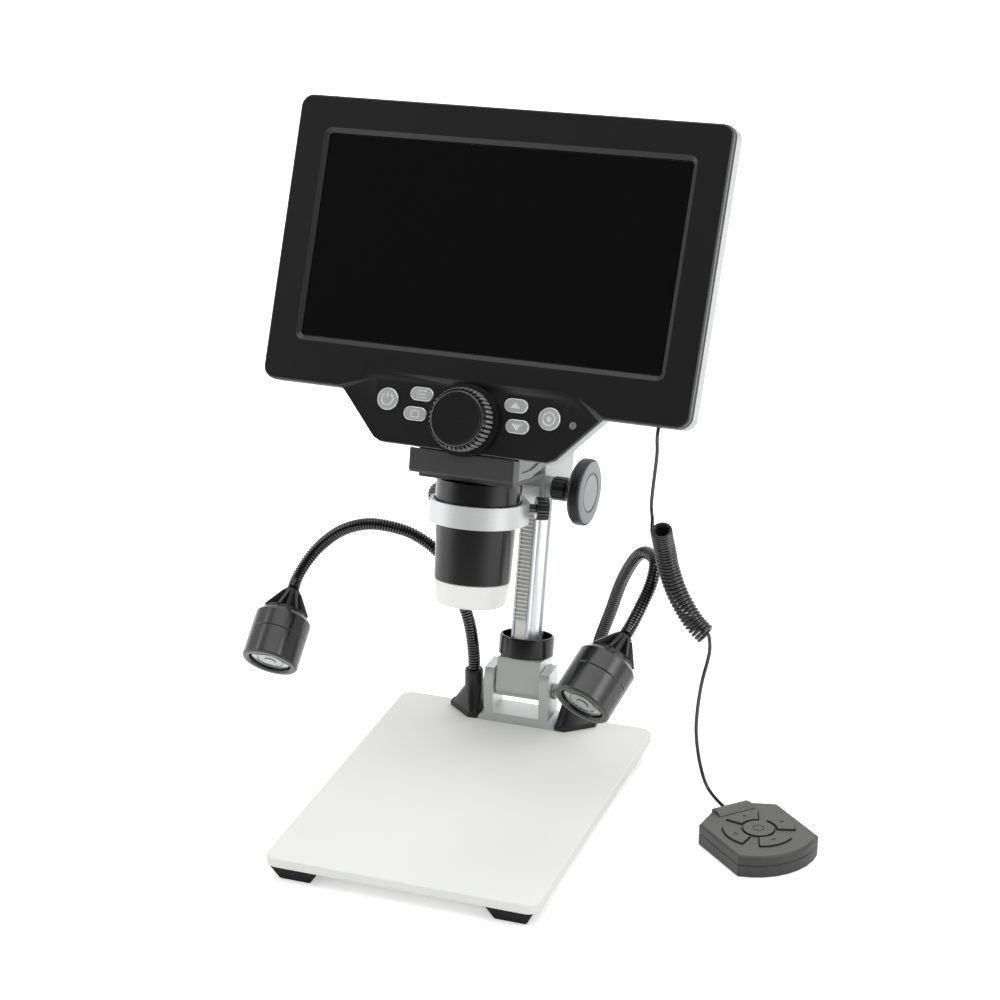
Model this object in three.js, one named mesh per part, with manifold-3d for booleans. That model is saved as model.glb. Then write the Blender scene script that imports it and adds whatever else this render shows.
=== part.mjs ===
// Desk microscope with a tilting column, a screen head, two gooseneck lamps and a wired remote.
// Millimetres, +Z up, front towards -Y. The origin is the centre of the stage plate's top face.
import * as THREE from 'three';
import { mergeVertices } from 'three/addons/utils/BufferGeometryUtils.js';
import Module from 'manifold-3d';

const wasm = await Module();
wasm.setup();

// Clearances that the fits share
const gap = 0.3;
const cutOver = 2;
const weldReach = 0.0001;

// Stage plate and feet
const plateWidth = 114;
const plateDepth = 157.8;
const plateThick = 4.3;
const plateCorner = 5;
const plateBevel = 0.5;
const footTop = 19.5;
const footBottom = 13.2;
const footHeight = 6.7;
const footSideInset = 2.2;
const footEndInset = 0.5;

// Clevis bracket on the back edge of the plate
const clevisWidth = 28.8;
const clevisFoot = 34.2;
const clevisFootRise = 1.6;
const clevisFlareRise = 3.4;
const clevisInside = 20.6;
const clevisFloor = 4.3;
const clevisDepth = 13.4;
const clevisSetIn = 2.3;
const clevisHeight = 24.7;
const clevisNoseDrop = 4;
const clevisNoseRun = 2.4;

// Tilt pin and tilt block
const pinHeight = 15.5;
const pinRadius = 2.2;
const pinHeadRadius = 3.4;
const pinHeadThick = 1.4;
const leanBack = 12.5;
const columnFootY = 70.5;
const blockWidth = 19.6;
const blockFront = 9;
const blockBack = 9;
const blockTop = 27.9;
const blockHeelRise = 5.4;
const socketRadius = 5.3;
const socketFloor = 19.4;

// Collar nut
const collarRadius = 11.75;
const collarBore = 10.6;
const collarHeight = 9;
const collarBevel = 0.8;

// Column extrusion, turned a little in its collar
const columnSwing = -4;
const columnTop = 168;
const columnHalfDepth = 9.4;
const flangeWidth = 7.4;
const flangeThick = 2.2;
const webWidth = 3.2;
const bossRadius = 4.6;
const bossShift = 0.5;
const columnEndPlug = 1.2;
const rackSlotWidth = 5.6;
const rackSlotDepth = 1.4;

// Rack and pinion
const gearModule = 0.55;
const pinionTeeth = 14;
const toothAddendum = 0.5;
const toothDedendum = 0.6;
const toothBacklash = 0.16;
const toothSlope = 0.36;
const meshGap = 0.12;
const rackWidth = 5;
const rackRootRise = 0.7;
const rackBottom = 34.4;
const rackPlain = 8.2;
const rackTopSetDown = 2.4;
const pinionWidth = 4.6;
const shaftRadius = 2;
const shaftTail = 3.4;
const pinionRise = 104.6;

// Carriage
const carriageWidth = 19;
const carriageFront = 19.2;
const carriageBack = 13.2;
const carriageBottom = 99.6;
const carriageTop = 126;
const carriageBevel = 1.5;
const bearingRadius = 4.7;
const bearingLength = 2.4;
const slideGap = 0.35;

// Height knob
const hubRadius = 5;
const hubLength = 5.5;
const neckRadius = 3.6;
const neckLength = 2.1;
const flareRadius = 7;
const flareLength = 2.6;
const heightKnobRadius = 14;
const heightKnobThick = 5.4;
const heightKnobRound = 1.3;
const heightCapRadius = 13.1;
const heightCapThick = 1.2;
const heightCapRise = 0.3;
const heightCapDot = 7.5;
const heightCapGroove = 0.9;
const heightCapGrooveDepth = 0.35;

// Clamp ring and its arm
const barrelReach = 66.8;
const ringBore = 17.75;
const ringRadius = 19.3;
const ringBottom = 96.7;
const ringHeight = 9.1;
const ringBlockDepth = 20.4;
const ringBlockFlat = 20.6;
const armWidth = 16;
const armHeight = 8.2;
const thumbTurn = 31;
const thumbRise = 6.4;
const thumbShaftRadius = 1.7;
const thumbHeadAt = 23.7;
const thumbHeadRadius = 4.7;
const thumbHeadLength = 4.9;
const thumbRidges = 12;
const thumbRidgeDepth = 0.5;
const thumbTipGap = 0.35;

// Lens barrel
const upperBarrelRadius = 17.3;
const upperBarrelBottom = 97;
const lowerBarrelTopRadius = 16.1;
const lowerBarrelRadius = 15.5;
const lowerBarrelBottom = 73.3;
const barrelWall = 2.2;
const barrelStep = 1.2;
const capRadius = 15.3;
const capEndRadius = 14.2;
const capBottom = 62.9;
const capWall = 1.3;
const capMouthRadius = 8.2;
const capRound = 1.6;
const capSleeve = 2.4;
const ledRingRadius = 12;
const ledRingBore = 7;
const ledRingThick = 1.6;
const ledCount = 8;
const ledRadius = 1.5;
const ledRise = 1.1;
const objectiveRadius = 6.4;
const objectiveThick = 3;
const objectiveBulge = 1;
const objectiveShoulder = 0.75;

// Camera box and the housing behind it
const cameraBoxWidth = 44.8;
const cameraBoxBottom = 117.1;
const cameraBoxTop = 125.8;
const cameraBoxFront = 87.4;
const cameraBoxThick = 6.9;
const cameraBoxBevel = 1;
const ledgeWidth = 40.8;
const ledgeThick = 2.3;
const ledgeFront = 81.7;
const ledgeBack = 46.8;
const housingWidth = 43;
const housingBack = 44.5;
const housingHeel = 66;
const housingHeelRise = 3.8;
const housingRearTop = 134;
const housingRib = 1.4;

// Screen head
const faceFootForward = 85.64;
const faceFootRise = 147.35;
const faceTilt = 11.5;
const faceWidth = 181.4;
const faceDepth = 114.8;
const faceCorner = 5;
const bezelThick = 3.2;
const bezelEdge = 0.6;
const windowSideBorder = 12.2;
const windowTopBorder = 12.55;
const windowFootBorder = 16.75;
const windowLip = 1.9;
const windowLipDepth = 1.5;
const windowCorner = 1.5;
const glassThick = 1.2;
const panelTopHalf = 55.3;
const panelSlopeRun = 17.9;
const panelDrop = 19.3;
const panelCorner = 2;
const panelSink = 2;
const panelStep = 3.1;
const panelStepRise = 8.7;
const panelStepOut = 1.1;
const panelStepLift = 0.7;
const panelShoulderRun = 14.3;
const panelThick = 3.2;
const shellOver = 0.35;
const shellStraight = 6.4;
const shellSideTaper = 10.7;
const shellEndTaper = 11.4;
const shellBackDepth = 12.2;
const shellWall = 2.2;
const lcdDepth = 4.6;
const lcdMargin = 3;
const boardSideInset = 18.5;
const boardEndInset = 11.75;
const boardThick = 1.6;
const boardSetBack = 3.2;
const boardPost = 1.4;
const keyBoardThick = 1.4;

// Buttons, indicator and focus knob on the panel
const buttonDrop = 2.5;
const roundButtonInset = 20.8;
const roundButtonRadius = 4.5;
const pillUpperInset = 35.2;
const pillLowerInset = 33.5;
const pillUpperLift = 1;
const pillLowerDrop = 7;
const pillWidth = 9.8;
const pillHeight = 5.5;
const capLength = 3.6;
const buttonProud = 1;
const indicatorInset = 11;
const indicatorDrop = 3.9;
const indicatorRadius = 1.5;
const focusDrop = 7.2;
const focusRadius = 12.5;
const focusFront = 8.4;
const focusStart = 1;
const focusRidges = 24;
const focusRidgeDepth = 0.5;
const focusRim = 0.8;
const focusRimDepth = 0.7;
const focusRingRadius = 14.4;
const focusRingRise = 2.4;
const focusShaftRadius = 2.4;
const focusShaftLength = 7;

// Lamp bases and goosenecks
const lampBaseX = 22.3;
const lampBaseY = 73.2;
const lampFlangeThick = 2;
const lampFlangeReach = 10.6;
const lampFlangeInner = 17.5;
const lampFlangeFront = 9.8;
const lampFlangeBack = 3.6;
const lampSkirtInset = 0.9;
const lampSkirtRise = 10.6;
const lampSleeveRadius = 4;
const lampSleeveTop = 19;
const lampSleeveBore = 2.9;
const lampSleeveDepth = 5;
const neckOuter = 5;
const neckCore = 4;
const neckRibPitch = 3.2;
const neckTipRadius = 0.9;

// Lamp heads
const finCount = 8;
const finConeLength = 10.8;
const finBottomRadius = 10.6;
const finTopRadius = 4.3;
const finThick = 1.3;
const finHubTop = 3.5;
const finHubBottom = 4.6;
const finCollarThick = 1.1;
const finCollarRadius = 9.8;
const lampRadius = 12.3;
const lampLength = 22.8;
const lampShoulder = 1.8;
const lampShoulderRun = 1.5;
const lampGroove = 0.4;
const lampGrooveWidth = 0.6;
const lampGrooveAt = 9.4;
const lampMouthRadius = 9.2;
const lampMouthDepth = 3.2;
const lampMouthBevel = 0.7;
const lampLensRadius = 8.8;
const lampLensThick = 2;
const lampLensBulge = 0.9;

// Remote on the table
const remoteX = 119.7;
const remoteY = 11.4;
const remoteTurn = -43;
const remoteHalfLength = 21.8;
const remoteHalfWidth = 18.6;
const remoteSideHalf = 14.5;
const remoteEndHalf = 8.2;
const remoteBaseHeight = 5.2;
const remoteHeight = 9.6;
const remoteBevel = 0.9;
const remoteBow = 27;
const remoteHumpLength = 6.5;
const remoteHumpRise = 1.5;
const remoteHumpLow = 2.4;
const remoteOkRadius = 6.2;
const remoteArcInner = 7.4;
const remoteArcOuter = 14.2;
const remoteArcSpan = 62;
const remoteButtonDepth = 2.2;
const remoteButtonRise = 0.7;
const remoteButtonGap = 0.35;
const remoteButtonTravel = 0.6;

// Cord between the screen head and the remote
const cordDiameter = 1.5;
const coilOuter = 8.8;
const coilTurns = 21.25;
const coilStepsPerTurn = 8;
const cordExitInset = 13.7;
const cordExitBack = 6.6;
const glandRadius = 2;
const glandDepth = 1.4;

// The places that the cord and the goosenecks pass, chosen by eye
const cordUpperRoute = [
  [70.2, 22.5, 148.9], [68.5, 24.5, 134.1], [67.6, 26, 125.6],
];
const coilRoute = [
  [72, 27, 115.3], [71.3, 31.6, 109.3], [71.4, 35, 102.8], [72.4, 36.6, 95.6],
  [75.3, 36.8, 87], [79.5, 36.4, 79.3], [84.5, 35.6, 72.9], [89.2, 34.6, 69.2],
];
const cordLowerRoute = [
  [91.5, 32.4, 64], [89.4, 30, 49.9], [88.5, 28.5, 38.5], [88.8, 27, 28.8],
  [91.4, 24.8, 16.6], [95.3, 22.8, 7.6],
];
const leftNeckRoute = [
  [-24.2, 73.2, 39.3], [-27.7, 73, 50.7], [-34.3, 72.4, 67.4], [-40.2, 72, 73.8],
  [-49.6, 71.4, 79.3], [-58.9, 70.8, 81.5], [-69.6, 70, 81.7], [-80.9, 68.8, 77.7],
  [-90.6, 66.4, 69.8], [-95.8, 62.6, 62.7],
];
const rightNeckRoute = [
  [31.9, 73.2, 33.9], [34.2, 72.8, 42.4], [39.1, 70.4, 56.5], [45.5, 65.4, 74.5],
  [53, 59.4, 88.1], [57.1, 56.4, 91.6], [61, 53, 92], [63.3, 50, 90.8], [63.5, 44.4, 84.1],
  [61.3, 38, 76.2],
];
const leftHeadAt = [-98.7, 54, 52.7];
const leftHeadAim = [-0.014, -0.755, -0.655];
const rightHeadAt = [57.7, 27.3, 66.8];
const rightHeadAim = [-0.257, -0.794, -0.551];

// Faces round a full turn
const fineSides = 28;
const midSides = 20;
const smallSides = 12;
const tubeSides = 8;
const coilSides = 5;
const squareSides = 4;
const cornerSteps = 4;

// Where the corners of one ridge lie within its share of the turn
const ridgeShares = [0, 0.5, 0.62, 0.88];

const quarterTurn = Math.PI / 2;
const radians = THREE.MathUtils.degToRad;

// Sizes that follow from those of the screen's face and its panel
const faceForward = faceFootForward - (faceDepth / 2) * Math.sin(radians(faceTilt));
const faceHeight = faceFootRise + (faceDepth / 2) * Math.cos(radians(faceTilt));
const windowWidth = faceWidth - 2 * windowSideBorder;
const windowHeight = faceDepth - windowTopBorder - windowFootBorder;
const windowRaise = (windowFootBorder - windowTopBorder) / 2;
const panelBottomHalf = panelTopHalf - panelSlopeRun;
const panelShoulderHalf = panelTopHalf - panelShoulderRun;
const shellBackWidth = faceWidth - 2 * shellSideTaper;
const shellBackHeight = faceDepth - 2 * shellEndTaper;
const boardWidth = windowWidth - 2 * boardSideInset;
const boardHeight = windowHeight - 2 * boardEndInset;
const buttonRow = faceDepth / 2 + buttonDrop;
const pillUpperRow = faceDepth / 2 - pillUpperLift;
const pillLowerRow = faceDepth / 2 + pillLowerDrop;
const indicatorRow = faceDepth / 2 + indicatorDrop;
const focusRow = faceDepth / 2 + focusDrop;
const roundButtonAt = panelTopHalf - roundButtonInset;
const pillUpperAt = panelTopHalf - pillUpperInset;
const pillLowerAt = panelTopHalf - pillLowerInset;
const indicatorAt = panelTopHalf - indicatorInset;
const cordExitAt = faceWidth / 2 - cordExitInset;

function finish(colour, roughness, metalness) {
  return () => new THREE.MeshStandardMaterial({ color: colour, roughness, metalness });
}

const paintedPlate = finish(0xe0e2dd, 0.6, 0.1);
const blackPlastic = finish(0x161617, 0.45, 0);
const darkRubber = finish(0x1c1c1c, 0.8, 0);
const silverPaint = finish(0xc4c6c6, 0.45, 0.3);
const aluminium = finish(0xc9cbcc, 0.35, 0.9);
const steel = finish(0x9a9c9d, 0.4, 0.9);
const whiteAcetal = finish(0xd9d9d4, 0.5, 0);
const darkAnodised = finish(0x232425, 0.35, 0.7);
const silverButton = finish(0xb9bbbb, 0.35, 0.6);
const screenBlack = finish(0x121212, 0.1, 0);
const boardGreen = finish(0x1d5b3a, 0.6, 0);
const frosted = finish(0xeeeeec, 0.7, 0);
const clearLens = finish(0xd8dcdc, 0.1, 0);
const remoteGrey = finish(0x5e5e5c, 0.6, 0);

// A closed solid from a three.js geometry, with doubled vertices merged and slivers dropped
function solid(geometry) {
  const bare = new THREE.BufferGeometry();
  bare.setAttribute('position', geometry.getAttribute('position').clone());
  if (geometry.index) {
    bare.setIndex(geometry.index.clone());
  }
  const merged = mergeVertices(bare, weldReach);
  const corners = merged.index.array;
  const kept = [];
  for (let i = 0; i < corners.length; i += 3) {
    const [a, b, c] = corners.slice(i, i + 3);
    if (a !== b && b !== c && c !== a) {
      kept.push(a, b, c);
    }
  }
  return new wasm.Manifold(new wasm.Mesh({
    numProp: 3,
    vertProperties: merged.getAttribute('position').array,
    triVerts: new Uint32Array(kept),
  }));
}

function geometryOf(body) {
  const mesh = body.getMesh();
  const geometry = new THREE.BufferGeometry();
  geometry.setAttribute('position', new THREE.BufferAttribute(mesh.vertProperties, 3));
  geometry.setIndex(new THREE.BufferAttribute(mesh.triVerts, 1));
  return geometry;
}

function join(...bodies) {
  return bodies.reduce((whole, body) => whole.add(body));
}

function cut(body, ...tools) {
  return tools.reduce((left, tool) => left.subtract(tool), body);
}

function piece(parent, name, shape, material) {
  const geometry = shape.isBufferGeometry ? shape : geometryOf(shape);
  geometry.computeVertexNormals();
  const mesh = new THREE.Mesh(geometry, material());
  mesh.name = name;
  parent.add(mesh);
  return mesh;
}

// A box between two corners
function boxBetween(low, high) {
  const size = high.map((value, axis) => value - low[axis]);
  const middle = high.map((value, axis) => (value + low[axis]) / 2);
  return solid(new THREE.BoxGeometry(...size).translate(...middle));
}

// A turned solid about Z from a closed profile of [radius, height] points
function turned(profile, sides = midSides) {
  const points = profile.map(([radius, height]) => new THREE.Vector2(radius, height));
  const closed = points[0].x > 0 ? [...points, points[0].clone()] : points;
  return solid(new THREE.LatheGeometry(closed, sides).rotateX(quarterTurn));
}

function rod(radius, from, to, sides = midSides) {
  return turned([[0, from], [radius, from], [radius, to], [0, to]], sides);
}

function tube(bore, radius, from, to, sides = midSides) {
  return turned([[bore, from], [radius, from], [radius, to], [bore, to]], sides);
}

function moved(body, matrix) {
  return solid(geometryOf(body).applyMatrix4(matrix));
}

function shifted(body, x, y, z) {
  return moved(body, new THREE.Matrix4().makeTranslation(x, y, z));
}

function alongX(body) {
  return moved(body, new THREE.Matrix4().makeRotationY(quarterTurn));
}

// Turns a solid drawn in X and Y and raised along Z so that it stands in X and Z and faces -Y
function facing(body) {
  return moved(body, new THREE.Matrix4().makeRotationX(quarterTurn));
}

function prism(shape, from, to) {
  const geometry = new THREE.ExtrudeGeometry(shape, {
    depth: to - from, bevelEnabled: false, curveSegments: cornerSteps,
  });
  return solid(geometry.translate(0, 0, from));
}

function outline(points) {
  return new THREE.Shape(points.map(([x, y]) => new THREE.Vector2(x, y)));
}

function roundedRectangle(width, height, radius, middleY = 0) {
  const right = width / 2 - radius;
  const top = middleY + height / 2 - radius;
  const bottom = middleY - height / 2 + radius;
  const shape = new THREE.Shape();
  shape.absarc(right, top, radius, 0, quarterTurn);
  shape.absarc(-right, top, radius, quarterTurn, 2 * quarterTurn);
  shape.absarc(-right, bottom, radius, 2 * quarterTurn, 3 * quarterTurn);
  shape.absarc(right, bottom, radius, 3 * quarterTurn, 4 * quarterTurn);
  return shape;
}

// The corners of an outline without repeated points
function cornersOf(shape) {
  const points = shape.getPoints(cornerSteps);
  return points.filter((point, i) => {
    const before = points[(i + points.length - 1) % points.length];
    return point.distanceTo(before) > weldReach;
  });
}

// A solid through outlines with equally many corners, each at its own height
function loft(...levels) {
  const outlines = levels.map(([shape]) => cornersOf(shape));
  const rings = outlines.map((points, i) => points.map((point) => [point.x, point.y, levels[i][1]]));
  const bottom = THREE.ShapeUtils.triangulateShape(outlines[0], []);
  const top = THREE.ShapeUtils.triangulateShape(outlines.at(-1), []);
  return solid(ringsToGeometry(rings, bottom, top));
}

function fanOf(count) {
  return Array.from({ length: count - 2 }, (_, i) => [0, i + 1, i + 2]);
}

// Joins rings of equally many points into a closed skin with flat ends
function ringsToGeometry(rings, bottom = fanOf(rings[0].length), top = bottom) {
  const count = rings[0].length;
  const last = (rings.length - 1) * count;
  const faces = [];
  for (let start = 0; start < last; start += count) {
    for (let side = 0; side < count; side += 1) {
      const a = start + side;
      const b = start + (side + 1) % count;
      faces.push(a, b, b + count, a, b + count, a + count);
    }
  }
  for (const [a, b, c] of bottom) {
    faces.push(a, c, b);
  }
  for (const [a, b, c] of top) {
    faces.push(last + a, last + b, last + c);
  }
  const geometry = new THREE.BufferGeometry();
  geometry.setAttribute('position', new THREE.Float32BufferAttribute(rings.flat(2), 3));
  geometry.setIndex(faces);
  return geometry;
}

function vector([x, y, z]) {
  return new THREE.Vector3(x, y, z);
}

// Rings of a round tube along a curve, with a radius for each step
function tubeRings(curve, steps, sides, radiusAt) {
  const frames = curve.computeFrenetFrames(steps, false);
  const rings = [];
  for (let step = 0; step <= steps; step += 1) {
    const centre = curve.getPointAt(step / steps);
    const radius = radiusAt(step);
    const ring = [];
    for (let side = 0; side < sides; side += 1) {
      const angle = (side / sides) * 2 * Math.PI;
      const point = centre.clone()
        .addScaledVector(frames.normals[step], radius * Math.cos(angle))
        .addScaledVector(frames.binormals[step], radius * Math.sin(angle));
      ring.push(point.toArray());
    }
    rings.push(ring);
  }
  return rings;
}

// A closed knurl: a ridged outline about Z
function ridgedShape(radius, depth, ridges) {
  const points = [];
  for (let i = 0; i < ridges; i += 1) {
    for (const [corner, share] of ridgeShares.entries()) {
      const angle = ((i + share) / ridges) * 2 * Math.PI;
      const reach = corner < 2 ? radius : radius - depth;
      points.push([reach * Math.cos(angle), reach * Math.sin(angle)]);
    }
  }
  return outline(points);
}

function buildPlate() {
  const shape = roundedRectangle(
    plateWidth - 2 * plateBevel, plateDepth - 2 * plateBevel, plateCorner - plateBevel,
  );
  const geometry = new THREE.ExtrudeGeometry(shape, {
    depth: plateThick - 2 * plateBevel,
    bevelThickness: plateBevel,
    bevelSize: plateBevel,
    bevelSegments: 1,
    curveSegments: cornerSteps,
  });
  return solid(geometry.translate(0, 0, plateBevel - plateThick));
}

function buildFoot() {
  const geometry = new THREE.CylinderGeometry(
    footTop / Math.SQRT2, footBottom / Math.SQRT2, footHeight, squareSides,
  );
  geometry.rotateY(quarterTurn / 2).rotateX(quarterTurn);
  return solid(geometry.translate(0, 0, -plateThick - footHeight / 2));
}

const pinY = plateDepth / 2 - clevisSetIn - clevisDepth / 2;

function buildClevis() {
  const half = clevisWidth / 2;
  const footHalf = clevisFoot / 2;
  const inside = clevisInside / 2;
  const front = outline([
    [-footHalf, 0], [footHalf, 0], [footHalf, clevisFootRise], [half, clevisFlareRise],
    [half, clevisHeight], [inside, clevisHeight], [inside, clevisFloor],
    [-inside, clevisFloor], [-inside, clevisHeight], [-half, clevisHeight],
    [-half, clevisFlareRise], [-footHalf, clevisFootRise],
  ]);
  const ears = shifted(facing(prism(front, 0, clevisDepth)), 0, pinY + clevisDepth / 2, 0);
  const noseY = pinY - clevisDepth / 2;
  const nose = alongProfileX([
    [noseY - cutOver, clevisHeight - clevisNoseDrop],
    [noseY, clevisHeight - clevisNoseDrop],
    [noseY + clevisNoseRun, clevisHeight + gap],
    [noseY - cutOver, clevisHeight + gap],
  ], -footHalf, footHalf);
  const bore = alongX(rod(pinRadius + gap, -footHalf, footHalf, smallSides));
  return cut(ears, nose, shifted(bore, 0, pinY, pinHeight));
}

// A profile of [y, z] points carried along X
function alongProfileX(points, from, to) {
  const body = prism(outline(points), from, to);
  const turn = new THREE.Matrix4().makeBasis(
    new THREE.Vector3(0, 1, 0), new THREE.Vector3(0, 0, 1), new THREE.Vector3(1, 0, 0),
  );
  return moved(body, turn);
}

function buildPin() {
  const reach = clevisWidth / 2 + gap;
  const body = turned([
    [0, -reach - pinHeadThick], [pinHeadRadius, -reach - pinHeadThick], [pinHeadRadius, -reach],
    [pinRadius, -reach], [pinRadius, reach], [pinHeadRadius, reach],
    [pinHeadRadius, reach + pinHeadThick], [0, reach + pinHeadThick],
  ], smallSides);
  return shifted(alongX(body), 0, pinY, pinHeight);
}

// The pin's place in the leaning frame of the column
const lean = radians(leanBack);
const pinBackInLean = (pinY - columnFootY) * Math.cos(lean) - pinHeight * Math.sin(lean);
const pinRiseInLean = (pinY - columnFootY) * Math.sin(lean) + pinHeight * Math.cos(lean);

function buildTiltBlock() {
  const heel = pinBackInLean + blockFront;
  const profile = [[-blockFront, blockTop], [-blockFront, pinRiseInLean]];
  for (let step = 1; step <= 2 * cornerSteps; step += 1) {
    const angle = Math.PI + (Math.PI * step) / (2 * cornerSteps);
    profile.push([pinBackInLean + heel * Math.cos(angle), pinRiseInLean + heel * Math.sin(angle)]);
  }
  profile.push([blockBack, pinRiseInLean + blockHeelRise], [blockBack, blockTop]);
  const body = alongProfileX(profile, -blockWidth / 2, blockWidth / 2);
  const bore = alongX(rod(pinRadius + gap, -blockWidth, blockWidth, smallSides));
  return cut(
    body,
    shifted(bore, 0, pinBackInLean, pinRiseInLean),
    rod(socketRadius, socketFloor, blockTop + cutOver, midSides),
  );
}

const collarBottom = blockTop + gap;

function buildCollar() {
  const top = collarBottom + collarHeight;
  return turned([
    [collarBore, collarBottom], [collarRadius - collarBevel, collarBottom],
    [collarRadius, collarBottom + collarBevel], [collarRadius, top - collarBevel],
    [collarRadius - collarBevel / 2, top], [collarBore, top],
  ], fineSides);
}

// The column's section, grown by a margin all round
function columnSection(margin, from, to) {
  const flange = flangeWidth / 2 + margin;
  const inner = columnHalfDepth - flangeThick - margin;
  const outer = columnHalfDepth + margin;
  const web = webWidth / 2 + margin;
  return join(
    boxBetween([-flange, -outer, from], [flange, -inner, to]),
    boxBetween([-web, -inner - cutOver / 4, from], [web, inner + cutOver / 4, to]),
    boxBetween([-flange, inner, from], [flange, outer, to]),
    shifted(rod(bossRadius + margin, from, to, midSides), 0, bossShift, 0),
  );
}

const rackBase = columnHalfDepth - rackSlotDepth;

function buildColumn() {
  const slot = boxBetween(
    [-rackSlotWidth / 2, -columnHalfDepth - cutOver, collarBottom - cutOver],
    [rackSlotWidth / 2, -rackBase, columnTop - columnEndPlug],
  );
  const spigot = rod(socketRadius - gap, socketFloor + gap, collarBottom + columnEndPlug, midSides);
  return join(cut(columnSection(0, collarBottom, columnTop), slot), spigot);
}

const toothPitch = Math.PI * gearModule;
const pitchRadius = (gearModule * pinionTeeth) / 2;
const rackRoot = rackBase + gap + rackRootRise;
const pitchLine = rackRoot + toothDedendum;
const pinionForward = pitchLine + pitchRadius + meshGap;
const rackTop = columnTop - rackTopSetDown;
const toothHalf = toothPitch / 4 - toothBacklash / 2;

function buildRack() {
  const profile = [[rackBase + gap, rackBottom]];
  const firstTooth = rackBottom + rackPlain;
  const index = Math.ceil((firstTooth - pinionRise) / toothPitch);
  const last = Math.floor((rackTop - pinionRise) / toothPitch);
  const rootHalf = toothHalf + toothDedendum * toothSlope;
  const tipHalf = toothHalf - toothAddendum * toothSlope;
  profile.push([rackRoot, rackBottom]);
  for (let i = index; i < last; i += 1) {
    const middle = pinionRise + (i + 0.5) * toothPitch;
    profile.push(
      [rackRoot, middle - rootHalf],
      [pitchLine + toothAddendum, middle - tipHalf],
      [pitchLine + toothAddendum, middle + tipHalf],
      [rackRoot, middle + rootHalf],
    );
  }
  profile.push([rackRoot, rackTop], [rackBase + gap, rackTop]);
  const points = profile.map(([forward, rise]) => [-forward, rise]).reverse();
  return alongProfileX(points, -rackWidth / 2, rackWidth / 2);
}

function buildPinion() {
  const points = [];
  const rootRadius = pitchRadius - toothDedendum;
  const tipRadius = pitchRadius + toothAddendum;
  const rootTurn = (toothHalf + toothDedendum * toothSlope / 2) / rootRadius;
  const tipTurn = (toothHalf - toothAddendum * toothSlope) / tipRadius;
  for (let i = 0; i < pinionTeeth; i += 1) {
    const middle = (i / pinionTeeth) * 2 * Math.PI;
    for (const [radius, turn] of [
      [rootRadius, -rootTurn], [tipRadius, -tipTurn], [tipRadius, tipTurn], [rootRadius, rootTurn],
    ]) {
      points.push([radius * Math.cos(middle + turn), radius * Math.sin(middle + turn)]);
    }
  }
  const wheel = prism(outline(points), -pinionWidth / 2, pinionWidth / 2);
  const shaft = rod(shaftRadius, -pinionWidth / 2 - shaftTail, knobStart + hubLength - gap, smallSides);
  const standing = new THREE.Matrix4().makeBasis(
    new THREE.Vector3(0, 1, 0), new THREE.Vector3(0, 0, 1), new THREE.Vector3(1, 0, 0),
  );
  return moved(join(wheel, shaft), standing);
}

const knobStart = carriageWidth / 2 + bearingLength + gap;

function buildCarriage() {
  const half = carriageWidth / 2;
  const body = alongProfileX([
    [-carriageFront, carriageBottom + carriageBevel],
    [-carriageFront + carriageBevel, carriageBottom],
    [carriageBack - carriageBevel, carriageBottom],
    [carriageBack, carriageBottom + carriageBevel],
    [carriageBack, carriageTop - carriageBevel],
    [carriageBack - carriageBevel, carriageTop],
    [-carriageFront + 4 * carriageBevel, carriageTop],
    [-carriageFront, carriageTop - 4 * carriageBevel],
  ], -half, half);
  const slot = columnSection(slideGap, carriageBottom - cutOver, carriageTop + cutOver);
  const rackWay = boxBetween(
    [-rackWidth / 2 - slideGap, -pitchLine - toothAddendum - slideGap, carriageBottom - cutOver],
    [rackWidth / 2 + slideGap, 0, carriageTop + cutOver],
  );
  const pocket = rod(
    pitchRadius + toothAddendum + slideGap, -pinionWidth / 2 - gap, pinionWidth / 2 + gap, midSides,
  );
  const bearing = rod(bearingRadius, half - cutOver, half + bearingLength, midSides);
  const tail = rod(
    shaftRadius + gap, -pinionWidth / 2 - shaftTail - gap, half + bearingLength + cutOver, smallSides,
  );
  const hollow = shifted(alongX(join(pocket, tail)), 0, -pinionForward, pinionRise);
  const boss = shifted(alongX(bearing), 0, -pinionForward, pinionRise);
  return cut(join(body, boss), slot, rackWay, hollow);
}

function buildHeightKnob() {
  const hubEnd = hubLength;
  const neckEnd = hubEnd + neckLength;
  const flareEnd = neckEnd + flareLength;
  const face = flareEnd + heightKnobThick;
  const seat = face - heightCapThick + heightCapRise - gap;
  const body = turned([
    [0, hubEnd - gap], [shaftRadius + gap, hubEnd - gap], [shaftRadius + gap, 0], [hubRadius, 0],
    [hubRadius, hubEnd], [neckRadius, hubEnd + gap], [neckRadius, neckEnd],
    [flareRadius, flareEnd], [heightKnobRadius - heightKnobRound, flareEnd],
    [heightKnobRadius, flareEnd + heightKnobRound], [heightKnobRadius, face - heightKnobRound / 2],
    [heightCapRadius + gap, face], [heightCapRadius + gap, seat], [0, seat],
  ], fineSides);
  return { body, face };
}

function buildHeightCap(face) {
  const top = face + heightCapRise;
  const groove = top - heightCapGrooveDepth;
  return turned([
    [0, top - heightCapThick], [heightCapRadius, top - heightCapThick],
    [heightCapRadius, groove], [heightCapRadius - heightCapGroove, top],
    [heightCapDot + heightCapGroove, top], [heightCapDot + heightCapGroove / 2, groove],
    [heightCapDot, top], [0, top],
  ], fineSides);
}

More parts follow.
